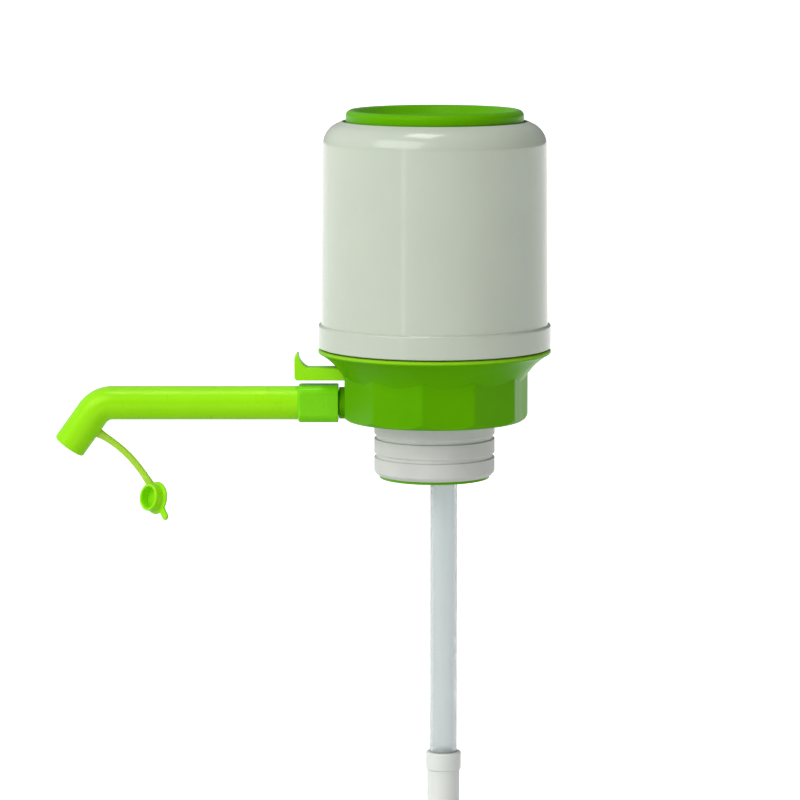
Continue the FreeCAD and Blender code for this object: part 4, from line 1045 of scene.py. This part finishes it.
def makeCouplings():
    c = coupling
    centre = (dipTube["offset"], 0)
    for index, part in enumerate(c["parts"]):
        middle = dipTube["top"] - dipTube["length"] * (index + 1)
        low, high = middle - c["half"], middle + c["half"]
        waist = c["outer"] - c["waistDepth"]
        sleeve = turned("dipCoupling" + part.title(), [
            (c["inner"], low), (c["outer"], low),
            (c["outer"], middle - c["waistHalf"] - c["waistSlope"]),
            (waist, middle - c["waistHalf"]), (waist, middle + c["waistHalf"]),
            (c["outer"], middle + c["waistHalf"] + c["waistSlope"]),
            (c["outer"], high), (c["inner"], high)], sides=64, centre=centre)
        roundLoops(sleeve, [(c["outer"], low, c["edge"], 4), (c["outer"], high, c["edge"], 4),
                            (c["inner"], low, c["mouthEdge"], 2),
                            (c["inner"], high, c["mouthEdge"], 2)], centre)
        finishPiece(sleeve, "housing", "tube_fitting", ["dip_coupling_" + part])


# The foot stands on the jug's bottom: crossed slots let the water in
intakeFoot = {
    "inner": 5.12, "outer": 6.62, "depth": 5.0, "length": 12.0, "step": 0.05, "slot": 3.0,
    "roof": 1.5, "edge": 0.5,
}


def makeFoot():
    f = intakeFoot
    x = dipTube["offset"]
    end = dipTube["top"] - dipTube["length"] * len(dipTube["parts"])
    low = end - f["depth"]
    high = low + f["length"]
    piece = turned("intakeFoot", [
        (dipTube["bore"], low), (f["outer"], low), (f["outer"], high), (f["inner"], high),
        (f["inner"], end - f["step"]), (dipTube["bore"], end - f["step"])],
        sides=64, centre=(x, 0))
    roundLoops(piece, [(f["outer"], low, f["edge"], 3), (f["outer"], high, f["edge"], 3)],
               (x, 0))
    reach = f["outer"] + past
    half = f["slot"] / 2
    roof = end - f["roof"]
    combined(piece, slab("slotAcross", (x - reach, -half, low - past),
                         (x + reach, half, roof)), "DIFFERENCE")
    combined(piece, slab("slotAlong", (x - half, -reach, low - past),
                         (x + half, reach, roof)), "DIFFERENCE")
    finishPiece(piece, "housing", "tube_fitting", ["intake_foot"], angle=35)


makeDipTube()
makeCouplings()
makeFoot()
print("dip tube ready")


bellows = {
    "low": 26.6, "flange": 37.8, "flangeThick": 1.4, "neck": 31.4, "neckTop": 32.0,
    "wall": 1.2, "fold": 36.0, "waist": 29.0, "start": 33.0, "end": 95.5, "folds": 8,
    "top": 99.0, "lid": 1.5, "travel": 30.0, "foldRound": 0.8, "insideRound": 0.6,
}


def makeBellows():
    b = bellows
    pitch = (b["end"] - b["start"]) / b["folds"]
    folds = []
    for fold in range(b["folds"]):
        foot = b["start"] + pitch * fold
        folds += [(b["waist"], foot), (b["fold"], foot + pitch / 2)]
    folds.append((b["waist"], b["end"]))
    inside = [(radius - b["wall"], height) for radius, height in reversed(folds)]
    lid = b["top"] - b["lid"]
    piece = turned("airBellows", [(0, b["top"]), (b["waist"], b["top"])]
                   + list(reversed(folds)) + [
        (b["neck"], b["neckTop"]), (b["neck"], b["low"] + b["flangeThick"]),
        (b["flange"], b["low"] + b["flangeThick"]), (b["flange"], b["low"]),
        (b["neck"] - b["wall"], b["low"]), (b["neck"] - b["wall"], b["neckTop"])]
                   + list(reversed(inside)) + [(b["waist"] - b["wall"], lid), (0, lid)],
                   sides=96)
    roundLoops(piece, [(*place, b["foldRound"], 3) for place in folds[1:-1]]
               + [(*place, b["insideRound"], 2) for place in inside[1:-1]])
    finishPiece(piece, "housing", "bellows_rubber", ["bellows"])
    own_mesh(piece)


def coiled(name, spring):
    # A round wire wound up around an upright axis at x, between two heights
    wire = spring["wire"]
    pitch = (spring["high"] - spring["low"] - wire * 2) / spring["coils"]
    bpy.ops.object.select_all(action="DESELECT")
    bpy.ops.mesh.primitive_circle_add(vertices=14, radius=wire * mm, fill_type="NOTHING",
                                      location=(spring["radius"] * mm, 0,
                                                (spring["low"] + wire) * mm),
                                      rotation=(math.radians(90), 0, 0))
    piece = bpy.context.object
    piece.name = name
    bpy.ops.object.transform_apply()
    screw = piece.modifiers.new("wound", "SCREW")
    screw.angle = math.radians(360)
    screw.screw_offset = pitch * mm
    screw.iterations = spring["coils"]
    screw.steps = spring["steps"]
    bpy.ops.object.modifier_apply(modifier=screw.name)
    bpy.ops.object.mode_set(mode="EDIT")
    bpy.ops.mesh.select_all(action="SELECT")
    bpy.ops.mesh.remove_doubles(threshold=weld)
    bpy.ops.mesh.fill_holes(sides=0)
    bpy.ops.mesh.select_all(action="SELECT")
    bpy.ops.transform.translate(value=(spring["x"] * mm, 0, 0))
    bpy.ops.object.mode_set(mode="OBJECT")
    return piece


returnSpring = {
    "radius": 24.0, "wire": 0.9, "low": 26.6, "high": 95.9, "coils": 9, "steps": 40, "x": 0,
    "travel": 30.0,
}
stemSpring = {
    "radius": 2.4, "wire": 0.3, "low": 19.8, "high": 24.0, "coils": 4, "steps": 40, "x": -16.0,
    "travel": 0.95,
}


def makeSprings():
    s = returnSpring
    piece = coiled("returnSpring", s)
    finishPiece(piece, "housing", "steel", ["return_spring"], angle=60)
    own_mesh(piece)
    s = stemSpring
    small = coiled("stemSpring", s)
    finishPiece(small, "housing", "steel", ["release_valve_spring"], angle=60)
    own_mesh(small)


makeBellows()
makeSprings()
print("bellows and springs ready")
